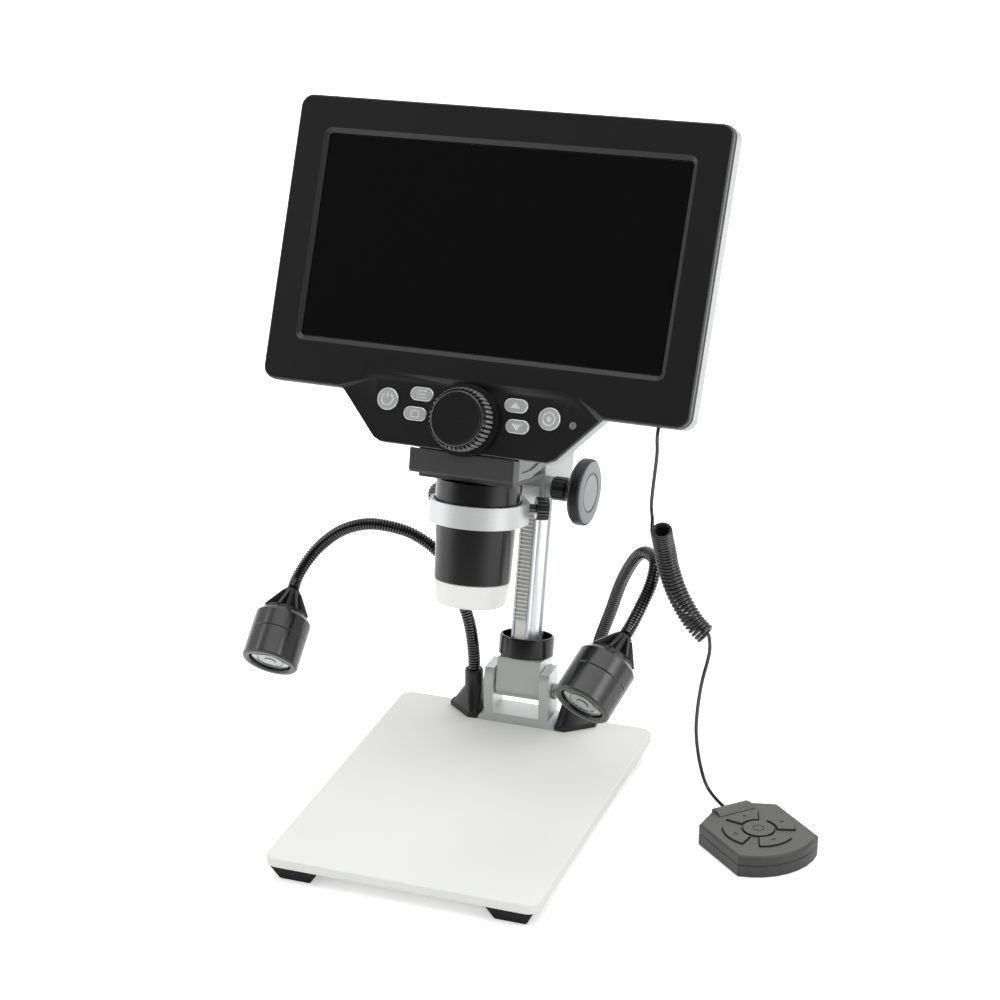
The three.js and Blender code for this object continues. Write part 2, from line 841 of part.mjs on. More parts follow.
// The clamp seen from above: half a ring at the front, a block with slanted corners behind
function clampOutline() {
  const turn = radians(thumbTurn);
  const slantAt = (x) => (ringBlockFlat - x * Math.cos(turn)) / Math.sin(turn);
  const slantEnd = (ringBlockFlat - ringBlockDepth * Math.sin(turn)) / Math.cos(turn);
  const shape = new THREE.Shape();
  shape.moveTo(ringRadius, slantAt(ringRadius));
  shape.lineTo(slantEnd, ringBlockDepth);
  shape.lineTo(-slantEnd, ringBlockDepth);
  shape.lineTo(-ringRadius, slantAt(ringRadius));
  for (let step = 0; step <= fineSides / 2; step += 1) {
    const angle = Math.PI + (step / fineSides) * 2 * Math.PI;
    shape.lineTo(ringRadius * Math.cos(angle), ringRadius * Math.sin(angle));
  }
  return shape;
}

function buildClampArm() {
  const top = ringBottom + ringHeight;
  const middle = ringBottom + ringHeight / 2;
  const arm = boxBetween(
    [-armWidth / 2, ringBlockDepth - barrelReach - cutOver, middle - armHeight / 2],
    [armWidth / 2, -carriageFront - gap, middle + armHeight / 2],
  );
  const ring = shifted(prism(clampOutline(), ringBottom, top), 0, -barrelReach, 0);
  const bore = shifted(rod(ringBore, ringBottom - cutOver, top + cutOver, fineSides), 0, -barrelReach, 0);
  const way = alongX(rod(thumbShaftRadius + gap, ringBore - cutOver, thumbHeadAt, smallSides));
  const ways = thumbTurns.map((turn) => moved(
    way,
    new THREE.Matrix4().makeRotationZ(turn).setPosition(0, -barrelReach, ringBottom + thumbRise),
  ));
  return cut(join(arm, ring), bore, ...ways);
}

// The two thumb screws point outwards and a little to the back
const thumbTurns = [radians(thumbTurn), Math.PI - radians(thumbTurn)];

function buildThumbScrew() {
  const shaft = rod(thumbShaftRadius, upperBarrelRadius + thumbTipGap, thumbHeadAt + gap, smallSides);
  const head = prism(
    ridgedShape(thumbHeadRadius, thumbRidgeDepth, thumbRidges),
    thumbHeadAt, thumbHeadAt + thumbHeadLength,
  );
  return alongX(join(shaft, head));
}

const boxFloor = cameraBoxBottom - ledgeThick;

function buildUpperBarrel() {
  return turned([
    [0, upperBarrelBottom], [lowerBarrelTopRadius - barrelWall, upperBarrelBottom],
    [upperBarrelRadius - barrelStep, upperBarrelBottom],
    [upperBarrelRadius, upperBarrelBottom + barrelStep / 2],
    [upperBarrelRadius, boxFloor - gap], [0, boxFloor - gap],
  ], fineSides);
}

function buildLowerBarrel() {
  const top = upperBarrelBottom - gap;
  const inner = lowerBarrelRadius - barrelWall;
  return turned([
    [inner, lowerBarrelBottom], [lowerBarrelRadius, lowerBarrelBottom],
    [lowerBarrelTopRadius, top], [inner, top],
  ], fineSides);
}

const capTop = lowerBarrelBottom + capSleeve;

function buildDiffuserCap() {
  const lip = lowerBarrelBottom - gap;
  const sleeve = lowerBarrelRadius - barrelWall - gap;
  return turned([
    [capMouthRadius, capBottom], [capEndRadius - capRound, capBottom],
    [capEndRadius - capRound / 4, capBottom + capRound / 3], [capEndRadius, capBottom + capRound],
    [capRadius, lip], [sleeve, lip], [sleeve, capTop], [sleeve - capWall, capTop],
    [sleeve - capWall, lip - capWall], [capEndRadius - 2 * capWall, capBottom + capRound],
    [capMouthRadius, capBottom + capWall],
  ], fineSides);
}

function buildLedRing() {
  const bottom = capTop + gap;
  const ring = tube(ledRingBore, ledRingRadius, bottom, bottom + ledRingThick, midSides);
  const middle = (ledRingBore + ledRingRadius) / 2;
  const leds = [];
  for (let i = 0; i < ledCount; i += 1) {
    const angle = (i / ledCount) * 2 * Math.PI;
    const led = rod(ledRadius, bottom - ledRise, bottom + ledRise, tubeSides);
    leds.push(shifted(led, middle * Math.cos(angle), middle * Math.sin(angle), 0));
  }
  return join(ring, ...leds);
}

function buildObjective() {
  const bottom = capTop + gap - ledRise;
  const top = bottom + objectiveThick;
  return turned([
    [0, bottom - objectiveBulge], [objectiveRadius / 2, bottom - objectiveShoulder],
    [objectiveRadius, bottom], [objectiveRadius, top], [0, top],
  ], midSides);
}

// The box's top slants as the panel above it does
function buildCameraBox() {
  const half = cameraBoxWidth / 2;
  const slant = cameraBoxThick * Math.tan(radians(faceTilt));
  const back = cameraBoxFront - cameraBoxThick;
  const front = alongProfileX([
    [-cameraBoxFront, cameraBoxBottom + cameraBoxBevel],
    [-cameraBoxFront + cameraBoxBevel, cameraBoxBottom],
    [-back, cameraBoxBottom], [-back, cameraBoxTop],
    [-cameraBoxFront, cameraBoxTop + slant],
  ], -half, half);
  const ledge = boxBetween(
    [-ledgeWidth / 2, -ledgeFront, boxFloor],
    [ledgeWidth / 2, -ledgeBack, cameraBoxBottom],
  );
  return join(front, ledge);
}

// A point given across the screen's face, in the column's [y, z]
function faceToColumn(rise, depth) {
  const tilt = radians(faceTilt);
  return [
    -faceForward + rise * Math.sin(tilt) + depth * Math.cos(tilt),
    faceHeight + rise * Math.cos(tilt) - depth * Math.sin(tilt),
  ];
}

const shellStart = bezelThick + gap;
const shellBackStart = shellStart + shellStraight;
const panelShellBack = panelSink + panelThick + gap + shellStraight - panelSink;

function buildHousing() {
  const half = housingWidth / 2;
  const front = cameraBoxFront - cameraBoxThick - gap;
  const bottom = cameraBoxBottom + gap;
  const under = faceDepth / 2 + shellOver;
  const [lowY, lowZ] = faceToColumn(-under - panelDrop - gap, shellBackStart + gap);
  const [highY, highZ] = faceToColumn(-under - gap, shellBackStart + gap);
  const slope = (faceDepth - shellBackHeight) / 2;
  const [rearY, rearZ] = faceToColumn(-under - gap + slope / 2, shellBackStart + shellBackDepth / 2);
  const profile = [
    [-front, bottom], [-housingHeel, bottom],
    [-housingBack, bottom + housingHeelRise], [-housingBack, housingRearTop],
    [rearY, rearZ], [highY, highZ], [lowY, lowZ], [-front, lowZ],
  ];
  const body = alongProfileX(profile, -half, half);
  const sunk = [
    [-front + 3 * housingRib, bottom + 2 * housingRib],
    [-housingHeel, bottom + 2 * housingRib],
    [-housingBack - 3 * housingRib, bottom + housingHeelRise + 2 * housingRib],
    [-housingBack - 3 * housingRib, housingRearTop - housingRib],
    [-front + 3 * housingRib, lowZ],
  ];
  const skin = half - housingRib / 2;
  return cut(
    body, alongProfileX(sunk, skin, half + cutOver), alongProfileX(sunk, -half - cutOver, -skin),
  );
}

// The face outline with the control panel hanging below it, grown by a margin
function faceOutline(margin) {
  const half = faceWidth / 2 + margin;
  const top = faceDepth / 2 + margin;
  const corner = faceCorner + margin;
  const panelBottom = top + panelDrop;
  const slopeX = panelTopHalf - panelBottomHalf;
  const slopeLength = Math.hypot(slopeX, panelDrop);
  const cornerX = (panelCorner * slopeX) / slopeLength;
  const cornerY = (panelCorner * panelDrop) / slopeLength;
  const shape = new THREE.Shape();
  shape.absarc(half - corner, top - corner, corner, 0, quarterTurn);
  shape.absarc(-half + corner, top - corner, corner, quarterTurn, 2 * quarterTurn);
  shape.absarc(-half + corner, -top + corner, corner, 2 * quarterTurn, 3 * quarterTurn);
  shape.lineTo(-panelTopHalf - margin, -top);
  shape.lineTo(-panelBottomHalf - margin - cornerX, -panelBottom + cornerY);
  shape.lineTo(-panelBottomHalf - margin + panelCorner, -panelBottom);
  shape.lineTo(panelBottomHalf + margin - panelCorner, -panelBottom);
  shape.lineTo(panelBottomHalf + margin + cornerX, -panelBottom + cornerY);
  shape.lineTo(panelTopHalf + margin, -top);
  shape.absarc(half - corner, -top + corner, corner, 3 * quarterTurn, 4 * quarterTurn);
  return shape;
}

// The sunk panel, as six corners, at a distance outside its floor
function panelSunk(margin) {
  const top = faceDepth / 2;
  const far = top + panelDrop + cutOver;
  const shoulder = top - panelStepRise + panelStep - margin;
  const side = panelTopHalf + panelStepOut;
  const wing = top + panelStep - margin - panelStepLift;
  return outline([
    [-side, -far], [side, -far], [side, -wing],
    [panelShoulderHalf + margin / 2, -shoulder], [-panelShoulderHalf - margin / 2, -shoulder],
    [-side, -wing],
  ]);
}

function pillShape(width, height) {
  return roundedRectangle(width, height, height / 2);
}

const buttonPlaces = [
  { name: 'button_power', x: -roundButtonAt, z: -buttonRow },
  { name: 'button_menu', x: -pillUpperAt, z: -pillUpperRow, pill: true },
  { name: 'button_mode', x: -pillLowerAt, z: -pillLowerRow, pill: true },
  { name: 'button_up', x: pillUpperAt, z: -pillUpperRow, pill: true },
  { name: 'button_down', x: pillLowerAt, z: -pillLowerRow, pill: true },
  { name: 'button_ok', x: roundButtonAt, z: -buttonRow },
];

// A button's solid along Z between two heights, grown by a margin
function buttonBody(place, margin, from, to) {
  const body = place.pill
    ? prism(pillShape(pillWidth + 2 * margin, pillHeight + 2 * margin), from, to)
    : rod(roundButtonRadius + margin, from, to, midSides);
  return shifted(body, place.x, place.z, 0);
}

function buildBezel() {
  const margin = -bezelEdge;
  const plateBody = loft(
    [faceOutline(0), -bezelThick], [faceOutline(0), -bezelEdge], [faceOutline(margin), 0],
  );
  const thickPanel = prism(
    panelBack(), -panelSink - panelThick, -bezelThick + panelThick / 2,
  );
  const inner = roundedRectangle(
    windowWidth - 2 * windowLip, windowHeight - 2 * windowLip, windowCorner, windowRaise,
  );
  const outer = roundedRectangle(windowWidth, windowHeight, windowCorner + windowLip, windowRaise);
  const opening = loft(
    [inner, -bezelThick - cutOver], [inner, -windowLipDepth], [outer, 0], [outer, cutOver],
  );
  const sunk = loft([panelSunk(0), -panelSink], [panelSunk(panelStep), 0], [panelSunk(panelStep), cutOver]);
  const holes = buttonPlaces.map((place) => buttonBody(
    place, gap, -bezelThick - panelThick - cutOver, cutOver,
  ));
  const lampHole = shifted(
    rod(indicatorRadius + gap, -bezelThick - panelThick - cutOver, cutOver, smallSides),
    indicatorAt, -indicatorRow, 0,
  );
  const floor = -panelSink;
  const ring = shifted(
    rod(focusRingRadius, floor - gap, floor + focusRingRise, fineSides), 0, -focusRow, 0,
  );
  const shaftHole = shifted(
    rod(focusShaftRadius + gap, -bezelThick - panelThick - cutOver, cutOver, smallSides),
    0, -focusRow, 0,
  );
  const sunkFace = cut(join(plateBody, thickPanel), opening, sunk);
  return cut(join(sunkFace, ring), ...holes, lampHole, shaftHole);
}

// The thicker wall behind the panel, clear of the screen above it
function panelBack() {
  const bottom = faceDepth / 2 + panelDrop - shellWall - gap;
  const top = faceDepth / 2 - panelStepRise + panelStep;
  return outline([
    [-panelBottomHalf + gap, -bottom], [panelBottomHalf - gap, -bottom],
    [panelShoulderHalf, -faceDepth / 2], [panelShoulderHalf, -top],
    [-panelShoulderHalf, -top], [-panelShoulderHalf, -faceDepth / 2],
  ]);
}

function buildGlass() {
  const width = windowWidth - 2 * windowLip - 2 * gap;
  const height = windowHeight - 2 * windowLip - 2 * gap;
  const front = -windowLipDepth - gap;
  return prism(
    roundedRectangle(width, height, windowCorner - gap, windowRaise), front - glassThick, front,
  );
}

const lcdFront = shellStart + gap;

function buildLcd() {
  const width = windowWidth + 2 * lcdMargin;
  const height = windowHeight + lcdMargin;
  return prism(
    roundedRectangle(width, height, windowCorner, windowRaise), -lcdFront - lcdDepth, -lcdFront,
  );
}

const boardFront = lcdFront + lcdDepth + boardSetBack;

// The main board with four posts that carry it behind the screen
function buildBoard() {
  const board = prism(
    roundedRectangle(boardWidth, boardHeight, windowCorner, windowRaise),
    -boardFront - boardThick, -boardFront,
  );
  const reachX = boardWidth / 2 - 3 * boardPost;
  const reachY = boardHeight / 2 - 3 * boardPost;
  const posts = [];
  for (const sideX of [-1, 1]) {
    for (const sideY of [-1, 1]) {
      const post = rod(boardPost, -boardFront - boardThick / 2, -lcdFront - lcdDepth - gap, tubeSides);
      posts.push(shifted(post, sideX * reachX, windowRaise + sideY * reachY, 0));
    }
  }
  return join(board, ...posts);
}

// The keys' board, with a hole for the focus shaft
function buildKeyBoard() {
  const front = -panelSink - panelThick - gap;
  const board = prism(panelBack(), front - keyBoardThick, front);
  const hole = rod(focusShaftRadius + gap, front - keyBoardThick - cutOver, front + cutOver, smallSides);
  return cut(board, shifted(hole, 0, -focusRow, 0));
}

function buildShell() {
  const outer = faceOutline(shellOver);
  const straight = prism(outer, -shellBackStart, -shellStart);
  const backFront = roundedRectangle(
    faceWidth + 2 * shellOver, faceDepth + 2 * shellOver, faceCorner + shellOver,
  );
  const backEnd = roundedRectangle(shellBackWidth, shellBackHeight, faceCorner);
  const back = loft(
    [backEnd, -shellBackStart - shellBackDepth], [backFront, -shellBackStart],
    [backFront, -shellStart - shellWall],
  );
  const innerFront = roundedRectangle(
    faceWidth - 2 * shellWall, faceDepth - 2 * shellWall, faceCorner - shellWall / 2,
  );
  const innerBack = roundedRectangle(
    shellBackWidth - 2 * shellWall, shellBackHeight - 2 * shellWall, faceCorner - shellWall / 2,
  );
  const hollow = loft(
    [innerBack, -shellBackStart - shellBackDepth + shellWall], [innerFront, -shellBackStart],
    [innerFront, -shellStart + cutOver],
  );
  const panelPocket = prism(panelPocketShape(), -panelShellBack + shellWall, -shellStart + cutOver);
  const gland = rod(glandRadius + gap, 0, glandDepth, smallSides);
  const cordHole = moved(gland, new THREE.Matrix4().makeRotationX(quarterTurn).setPosition(
    cordExitAt, -faceDepth / 2 - shellOver + glandDepth, -cordExitBack,
  ));
  return cut(join(straight, back), hollow, panelPocket, cordHole);
}

// The room behind the panel for its keys and the knob's shaft
function panelPocketShape() {
  const bottom = faceDepth / 2 + panelDrop - shellWall;
  const top = faceDepth / 2 - panelStepRise;
  return outline([
    [-panelBottomHalf, -bottom], [panelBottomHalf, -bottom],
    [panelTopHalf - 2 * shellWall, -faceDepth / 2], [panelTopHalf - 2 * shellWall, -top],
    [-panelTopHalf + 2 * shellWall, -top], [-panelTopHalf + 2 * shellWall, -faceDepth / 2],
  ]);
}

function buildFocusKnob() {
  const body = prism(
    ridgedShape(focusRadius, focusRidgeDepth, focusRidges), focusStart, focusFront - focusRimDepth,
  );
  const face = turned([
    [0, focusStart + gap], [focusRadius - focusRidgeDepth - gap, focusStart + gap],
    [focusRadius - focusRidgeDepth - gap, focusFront - focusRimDepth / 2],
    [focusRadius - 2 * focusRim, focusFront], [focusRadius - 3 * focusRim, focusFront],
    [focusRadius - 4 * focusRim, focusFront - focusRimDepth / 2],
    [0, focusFront - focusRimDepth / 2],
  ], fineSides);
  const shaft = rod(focusShaftRadius, focusStart - focusShaftLength, focusStart + gap * 2, smallSides);
  return shifted(join(body, face, shaft), 0, -focusRow, 0);
}

// The lamp base's flange from above, drawn in by an inset on its free sides
function lampFlange(inset) {
  const innerX = lampFlangeInner - lampBaseX;
  return outline([
    [innerX, lampFlangeBack], [innerX, -lampFlangeFront + inset],
    [innerX + lampFlangeInner / 4, -lampFlangeFront - gap + inset],
    [lampFlangeReach - inset, -lampFlangeBack / 4], [lampFlangeReach - inset, lampFlangeBack],
  ]);
}

// One lamp base: a flange on the plate, a skirt and a sleeve for the gooseneck
function buildLampBase(side) {
  const innerX = lampFlangeInner - lampBaseX;
  const flange = prism(lampFlange(0), 0, lampFlangeThick);
  const skirt = wasm.Manifold.hull([
    prism(lampFlange(lampSkirtInset), lampFlangeThick / 2, lampFlangeThick),
    rod(lampSleeveRadius, lampSkirtRise, lampSkirtRise + gap, midSides),
  ]);
  const post = turned([
    [0, lampFlangeThick], [lampSleeveRadius, lampFlangeThick],
    [lampSleeveRadius, lampSleeveTop - 3 * gap],
    [lampSleeveRadius - gap, lampSleeveTop],
    [lampSleeveBore, lampSleeveTop], [lampSleeveBore, lampSleeveTop - lampSleeveDepth],
    [0, lampSleeveTop - lampSleeveDepth],
  ], midSides);
  const keep = boxBetween(
    [innerX, -lampFlangeFront - cutOver, 0],
    [lampFlangeReach + cutOver, lampFlangeBack, lampSleeveTop + cutOver],
  );
  const body = join(flange, skirt, post).intersect(keep);
  const mirrored = side < 0 ? mirrorX(body) : body;
  return shifted(mirrored, side * lampBaseX, lampBaseY, 0);
}

function mirrorX(body) {
  const geometry = geometryOf(body);
  const positions = geometry.getAttribute('position');
  for (let i = 0; i < positions.count; i += 1) {
    positions.setX(i, -positions.getX(i));
  }
  const corners = geometry.index.array;
  for (let i = 0; i < corners.length; i += 3) {
    [corners[i], corners[i + 1]] = [corners[i + 1], corners[i]];
  }
  return solid(geometry);
}

// Where a lamp head's neck socket lies, and which way the lamp looks
function lampFrame(at, aim) {
  const down = vector(aim).normalize();
  const turn = new THREE.Quaternion().setFromUnitVectors(new THREE.Vector3(0, 0, -1), down);
  return { position: vector(at), quaternion: turn, down };
}

// The ribbed gooseneck, straight for one diameter at each end
function buildNeck(side, route, head) {
  const start = new THREE.Vector3(side * lampBaseX, lampBaseY, lampSleeveTop - lampSleeveDepth + gap);
  const end = head.position.clone().addScaledVector(head.down, -gap);
  const points = [
    start, start.clone().add(new THREE.Vector3(0, 0, lampSleeveDepth + neckOuter)),
    ...route.map(vector),
    end.clone().addScaledVector(head.down, -neckOuter), end,
  ];
  const curve = new THREE.CatmullRomCurve3(points, false, 'centripetal');
  const length = curve.getLength();
  const steps = 2 * Math.round(length / neckRibPitch);
  const sleeveSteps = Math.ceil((lampSleeveDepth + gap) / (length / steps));
  const rings = tubeRings(curve, steps, tubeSides, (step) => {
    if (step === steps) {
      return neckTipRadius;
    }
    const plain = step <= sleeveSteps || step % 2 === 0;
    return (plain ? neckCore : neckOuter) / 2;
  });
  return { body: solid(ringsToGeometry(rings)), length };
}

function buildFinCone() {
  const hub = turned([
    [0, -finConeLength], [finHubBottom, -finConeLength], [finHubTop, 0], [0, 0],
  ], smallSides);
  const collar = rod(
    finCollarRadius, -finConeLength - finCollarThick, -finConeLength + finCollarThick / 4, midSides,
  );
  const fins = [];
  for (let i = 0; i < finCount / 2; i += 1) {
    const blade = prism(outline([
      [-finBottomRadius, -finConeLength], [finBottomRadius, -finConeLength],
      [finTopRadius, -finTopRadius / 4], [-finTopRadius, -finTopRadius / 4],
    ]), -finThick / 2, finThick / 2);
    const upright = moved(blade, new THREE.Matrix4().makeRotationX(quarterTurn));
    fins.push(moved(upright, new THREE.Matrix4().makeRotationZ((i / finCount) * 2 * Math.PI)));
  }
  return join(hub, collar, ...fins);
}

const lampTop = -finConeLength - finCollarThick - gap;

function buildLampHead() {
  const at = (distance) => lampTop - distance;
  return turned([
    [0, at(lampLength - lampMouthDepth)], [lampMouthRadius, at(lampLength - lampMouthDepth)],
    [lampMouthRadius, at(lampLength - lampMouthBevel)],
    [lampMouthRadius + lampMouthBevel, at(lampLength)], [lampRadius - lampMouthBevel, at(lampLength)],
    [lampRadius, at(lampLength - lampMouthBevel)],
    [lampRadius, at(lampGrooveAt + lampGrooveWidth)],
    [lampRadius - lampGroove, at(lampGrooveAt + lampGrooveWidth / 2)], [lampRadius, at(lampGrooveAt)],
    [lampRadius, at(lampShoulder)], [lampRadius - lampShoulderRun, at(0)], [0, at(0)],
  ], fineSides);
}

function buildLampLens() {
  const back = lampTop - lampLength + lampMouthDepth - gap;
  const front = back - lampLensThick;
  return turned([
    [0, front], [lampLensRadius / 2, front + lampLensBulge / 4],
    [lampLensRadius, front + lampLensBulge], [lampLensRadius, back], [0, back],
  ], midSides);
}

// The remote's outline: clipped corners at the cord end, a bowed far end
function remoteOutline(margin) {
  const half = remoteHalfWidth + margin;
  const tail = remoteHalfLength + margin;
  const bow = remoteBow + margin;
  const sweep = Math.asin(half / bow);
  const middleX = tail - bow;
  const shape = new THREE.Shape();
  shape.moveTo(-remoteSideHalf, half);
  shape.lineTo(-tail, remoteEndHalf);
  shape.lineTo(-tail, -remoteEndHalf);
  shape.lineTo(-remoteSideHalf, -half);
  shape.absarc(middleX, 0, bow, -sweep, sweep);
  return shape;
}

function remoteButtonBody(place, margin, from, to) {
  if (place.angle === undefined) {
    return rod(remoteOkRadius + margin, from, to, midSides);
  }
  const half = radians(remoteArcSpan) / 2;
  const outer = remoteArcOuter + margin;
  const inner = remoteArcInner - margin;
  const outerTurn = half + margin / outer;
  const innerTurn = half + margin / inner;
  const shape = new THREE.Shape();
  shape.absarc(0, 0, outer, place.angle - outerTurn, place.angle + outerTurn);
  shape.absarc(0, 0, inner, place.angle + innerTurn, place.angle - innerTurn, true);
  return prism(shape, from, to);
}

const remoteButtons = [
  { name: 'remote_ok' },
  { name: 'remote_far', angle: 0 },
  { name: 'remote_left', angle: quarterTurn },
  { name: 'remote_near', angle: 2 * quarterTurn },
  { name: 'remote_right', angle: 3 * quarterTurn },
];

function buildRemoteBase() {
  return loft(
    [remoteOutline(-remoteBevel / 2), 0], [remoteOutline(0), remoteBevel / 2],
    [remoteOutline(0), remoteBaseHeight],
  );
}

const entryRise = remoteHeight - remoteHumpLow;

function buildRemoteTop() {
  const bottom = remoteBaseHeight + gap;
  const body = loft(
    [remoteOutline(0), bottom], [remoteOutline(0), remoteHeight - remoteBevel],
    [remoteOutline(-remoteBevel), remoteHeight],
  );
  const tail = remoteHalfLength;
  const hump = moved(prism(outline([
    [-tail, remoteHeight - remoteHumpLow], [-tail + remoteHumpLength, remoteHeight - remoteBevel],
    [-tail + remoteHumpLength, remoteHeight + gap],
    [-tail + remoteHumpLength / 2, remoteHeight + remoteHumpRise],
    [-tail, remoteHeight + remoteHumpRise / 2],
  ]), -remoteEndHalf, remoteEndHalf), new THREE.Matrix4().makeRotationX(quarterTurn));
  const floor = remoteHeight - remoteButtonDepth - remoteButtonTravel - gap;
  const wells = remoteButtons.map((place) => remoteButtonBody(
    place, remoteButtonGap, floor, remoteHeight + cutOver,
  ));
  const entry = moved(
    rod(cordDiameter / 2 + gap, -cutOver, glandDepth, smallSides),
    new THREE.Matrix4().makeRotationY(quarterTurn).setPosition(-tail, 0, entryRise),
  );
  return cut(join(body, hump), ...wells, entry);
}

// The curled stretch of the cord: a helix about a curved axis
function coilCurve() {
  const axis = new THREE.CatmullRomCurve3(coilRoute.map(vector), false, 'centripetal');
  const steps = coilTurns * coilStepsPerTurn;
  const radius = (coilOuter - cordDiameter) / 2;
  const up = new THREE.Vector3(0, 0, 1);
  let normal = null;
  const points = [];
  for (let step = 0; step <= steps; step += 1) {
    const tangent = axis.getTangentAt(step / steps);
    normal = normal ? normal : up.clone().cross(tangent);
    normal.addScaledVector(tangent, -normal.dot(tangent)).normalize();
    const binormal = tangent.clone().cross(normal);
    const angle = (step / coilStepsPerTurn) * 2 * Math.PI;
    points.push(axis.getPointAt(step / steps)
      .addScaledVector(normal, radius * Math.cos(angle))
      .addScaledVector(binormal, -radius * Math.sin(angle)));
  }
  return points;
}

function leadDirection(points, fromEnd) {
  const [a, b] = fromEnd ? [points.at(-2), points.at(-1)] : [points[1], points[0]];
  return b.clone().sub(a).normalize();
}

// Rings square to a chain of points, turned along without twist
function chainRings(points, sides, radius) {
  const rings = [];
  let normal = null;
  for (let i = 0; i < points.length; i += 1) {
    const before = points[Math.max(i - 1, 0)];
    const after = points[Math.min(i + 1, points.length - 1)];
    const tangent = after.clone().sub(before).normalize();
    if (!normal) {
      normal = new THREE.Vector3(0, 1, 0).cross(tangent).normalize();
    }
    normal.addScaledVector(tangent, -normal.dot(tangent)).normalize();
    const binormal = tangent.clone().cross(normal);
    const ring = [];
    for (let side = 0; side < sides; side += 1) {
      const angle = (side / sides) * 2 * Math.PI;
      ring.push(points[i].clone()
        .addScaledVector(normal, radius * Math.cos(angle))
        .addScaledVector(binormal, radius * Math.sin(angle)).toArray());
    }
    rings.push(ring);
  }
  return rings;
}

// The least distance between the surfaces of two turns of a wound tube
function leastOwnGap(points, diameter, skip) {
  let least = Infinity;
  for (let i = 0; i < points.length; i += 1) {
    for (let j = i + skip; j < points.length; j += 1) {
      least = Math.min(least, points[i].distanceTo(points[j]) - diameter);
    }
  }
  return least;
}

function buildCord(parent, exit, exitAim, entry, entryAim) {
  const turns = coilCurve();
  const headAim = leadDirection(turns, false);
  const tailAim = leadDirection(turns, true);
  const coilTop = turns[0].clone().addScaledVector(headAim, cordDiameter);
  const coilEnd = turns.at(-1).clone().addScaledVector(tailAim, cordDiameter);
  const coilPoints = [coilTop, ...turns, coilEnd];
  const coil = solid(ringsToGeometry(chainRings(coilPoints, coilSides, cordDiameter / 2)));
  console.log('coil own gap', leastOwnGap(turns, cordDiameter, coilStepsPerTurn / 2).toFixed(2), 'mm');
  const upper = new THREE.CatmullRomCurve3([
    exit.clone().addScaledVector(exitAim, gap),
    exit.clone().addScaledVector(exitAim, 3 * cordDiameter),
    ...cordUpperRoute.map(vector),
    coilTop.clone().addScaledVector(headAim, 2 * cordDiameter),
    coilTop.clone().addScaledVector(headAim, gap),
  ], false, 'centripetal');
  const lower = new THREE.CatmullRomCurve3([
    coilEnd.clone().addScaledVector(tailAim, gap),
    coilEnd.clone().addScaledVector(tailAim, 2 * cordDiameter),
    ...cordLowerRoute.map(vector),
    entry.clone().addScaledVector(entryAim, 3 * cordDiameter),
    entry.clone().addScaledVector(entryAim, gap),
  ], false, 'centripetal');
  for (const [name, curve] of [['cord_upper', upper], ['cord_lower', lower]]) {
    const steps = Math.ceil(curve.getLength() / (3 * cordDiameter));
    const rings = tubeRings(curve, steps, tubeSides, () => cordDiameter / 2);
    piece(parent, name, solid(ringsToGeometry(rings)), darkRubber);
    console.log(name, curve.getLength().toFixed(1), 'mm');
  }
  piece(parent, 'cord_coil', coil, darkRubber);
}

const object = new THREE.Group();

// What stands on the table
piece(object, 'base_plate', buildPlate(), paintedPlate);
const footX = (plateWidth - footTop) / 2 - footSideInset;
const footY = (plateDepth - footTop) / 2 - footEndInset;
for (const [name, sideX, sideY] of [
  ['foot_front_left', -1, -1], ['foot_front_right', 1, -1],
  ['foot_back_left', -1, 1], ['foot_back_right', 1, 1],
]) {
  piece(object, name, shifted(buildFoot(), sideX * footX, sideY * footY, 0), darkRubber);
}
piece(object, 'clevis_bracket', buildClevis(), aluminium);
piece(object, 'tilt_pin', buildPin(), steel);

// What tilts on the pin
const leaning = new THREE.Group();
leaning.position.set(0, columnFootY, 0);
leaning.rotation.x = -lean;
object.add(leaning);
piece(leaning, 'tilt_block', buildTiltBlock(), aluminium);
piece(leaning, 'collar_nut', buildCollar(), blackPlastic);

// What turns in the collar
const swung = new THREE.Group();
swung.rotation.z = radians(columnSwing);
leaning.add(swung);
piece(swung, 'column', buildColumn(), aluminium);
piece(swung, 'rack', buildRack(), whiteAcetal);

// What slides on the column
piece(swung, 'carriage', buildCarriage(), silverPaint);
piece(swung, 'clamp_arm', buildClampArm(), aluminium);
const pinionGroup = new THREE.Group();
pinionGroup.position.set(0, -pinionForward, pinionRise);
swung.add(pinionGroup);
piece(pinionGroup, 'pinion_shaft', buildPinion(), steel);
const knob = buildHeightKnob();
const knobGroup = new THREE.Group();
knobGroup.position.x = knobStart;
knobGroup.rotation.y = quarterTurn;
pinionGroup.add(knobGroup);
piece(knobGroup, 'height_knob', knob.body, blackPlastic);
piece(knobGroup, 'height_knob_cap', buildHeightCap(knob.face), aluminium);
for (const [i, name] of ['thumb_screw_right', 'thumb_screw_left'].entries()) {
  const screw = new THREE.Group();
  screw.position.set(0, -barrelReach, ringBottom + thumbRise);
  screw.rotation.z = thumbTurns[i];
  swung.add(screw);
  piece(screw, name, buildThumbScrew(), darkAnodised);
}

// The head that turns in the clamp ring
const head = new THREE.Group();
swung.add(head);
const barrelGroup = new THREE.Group();
barrelGroup.position.y = -barrelReach;
head.add(barrelGroup);
piece(barrelGroup, 'barrel_upper', buildUpperBarrel(), blackPlastic);
piece(barrelGroup, 'barrel_lower', buildLowerBarrel(), blackPlastic);
piece(barrelGroup, 'diffuser_cap', buildDiffuserCap(), frosted);
piece(barrelGroup, 'led_ring', buildLedRing(), frosted);
piece(barrelGroup, 'objective_lens', buildObjective(), clearLens);
piece(head, 'camera_box', buildCameraBox(), blackPlastic);
piece(head, 'head_housing', buildHousing(), silverPaint);

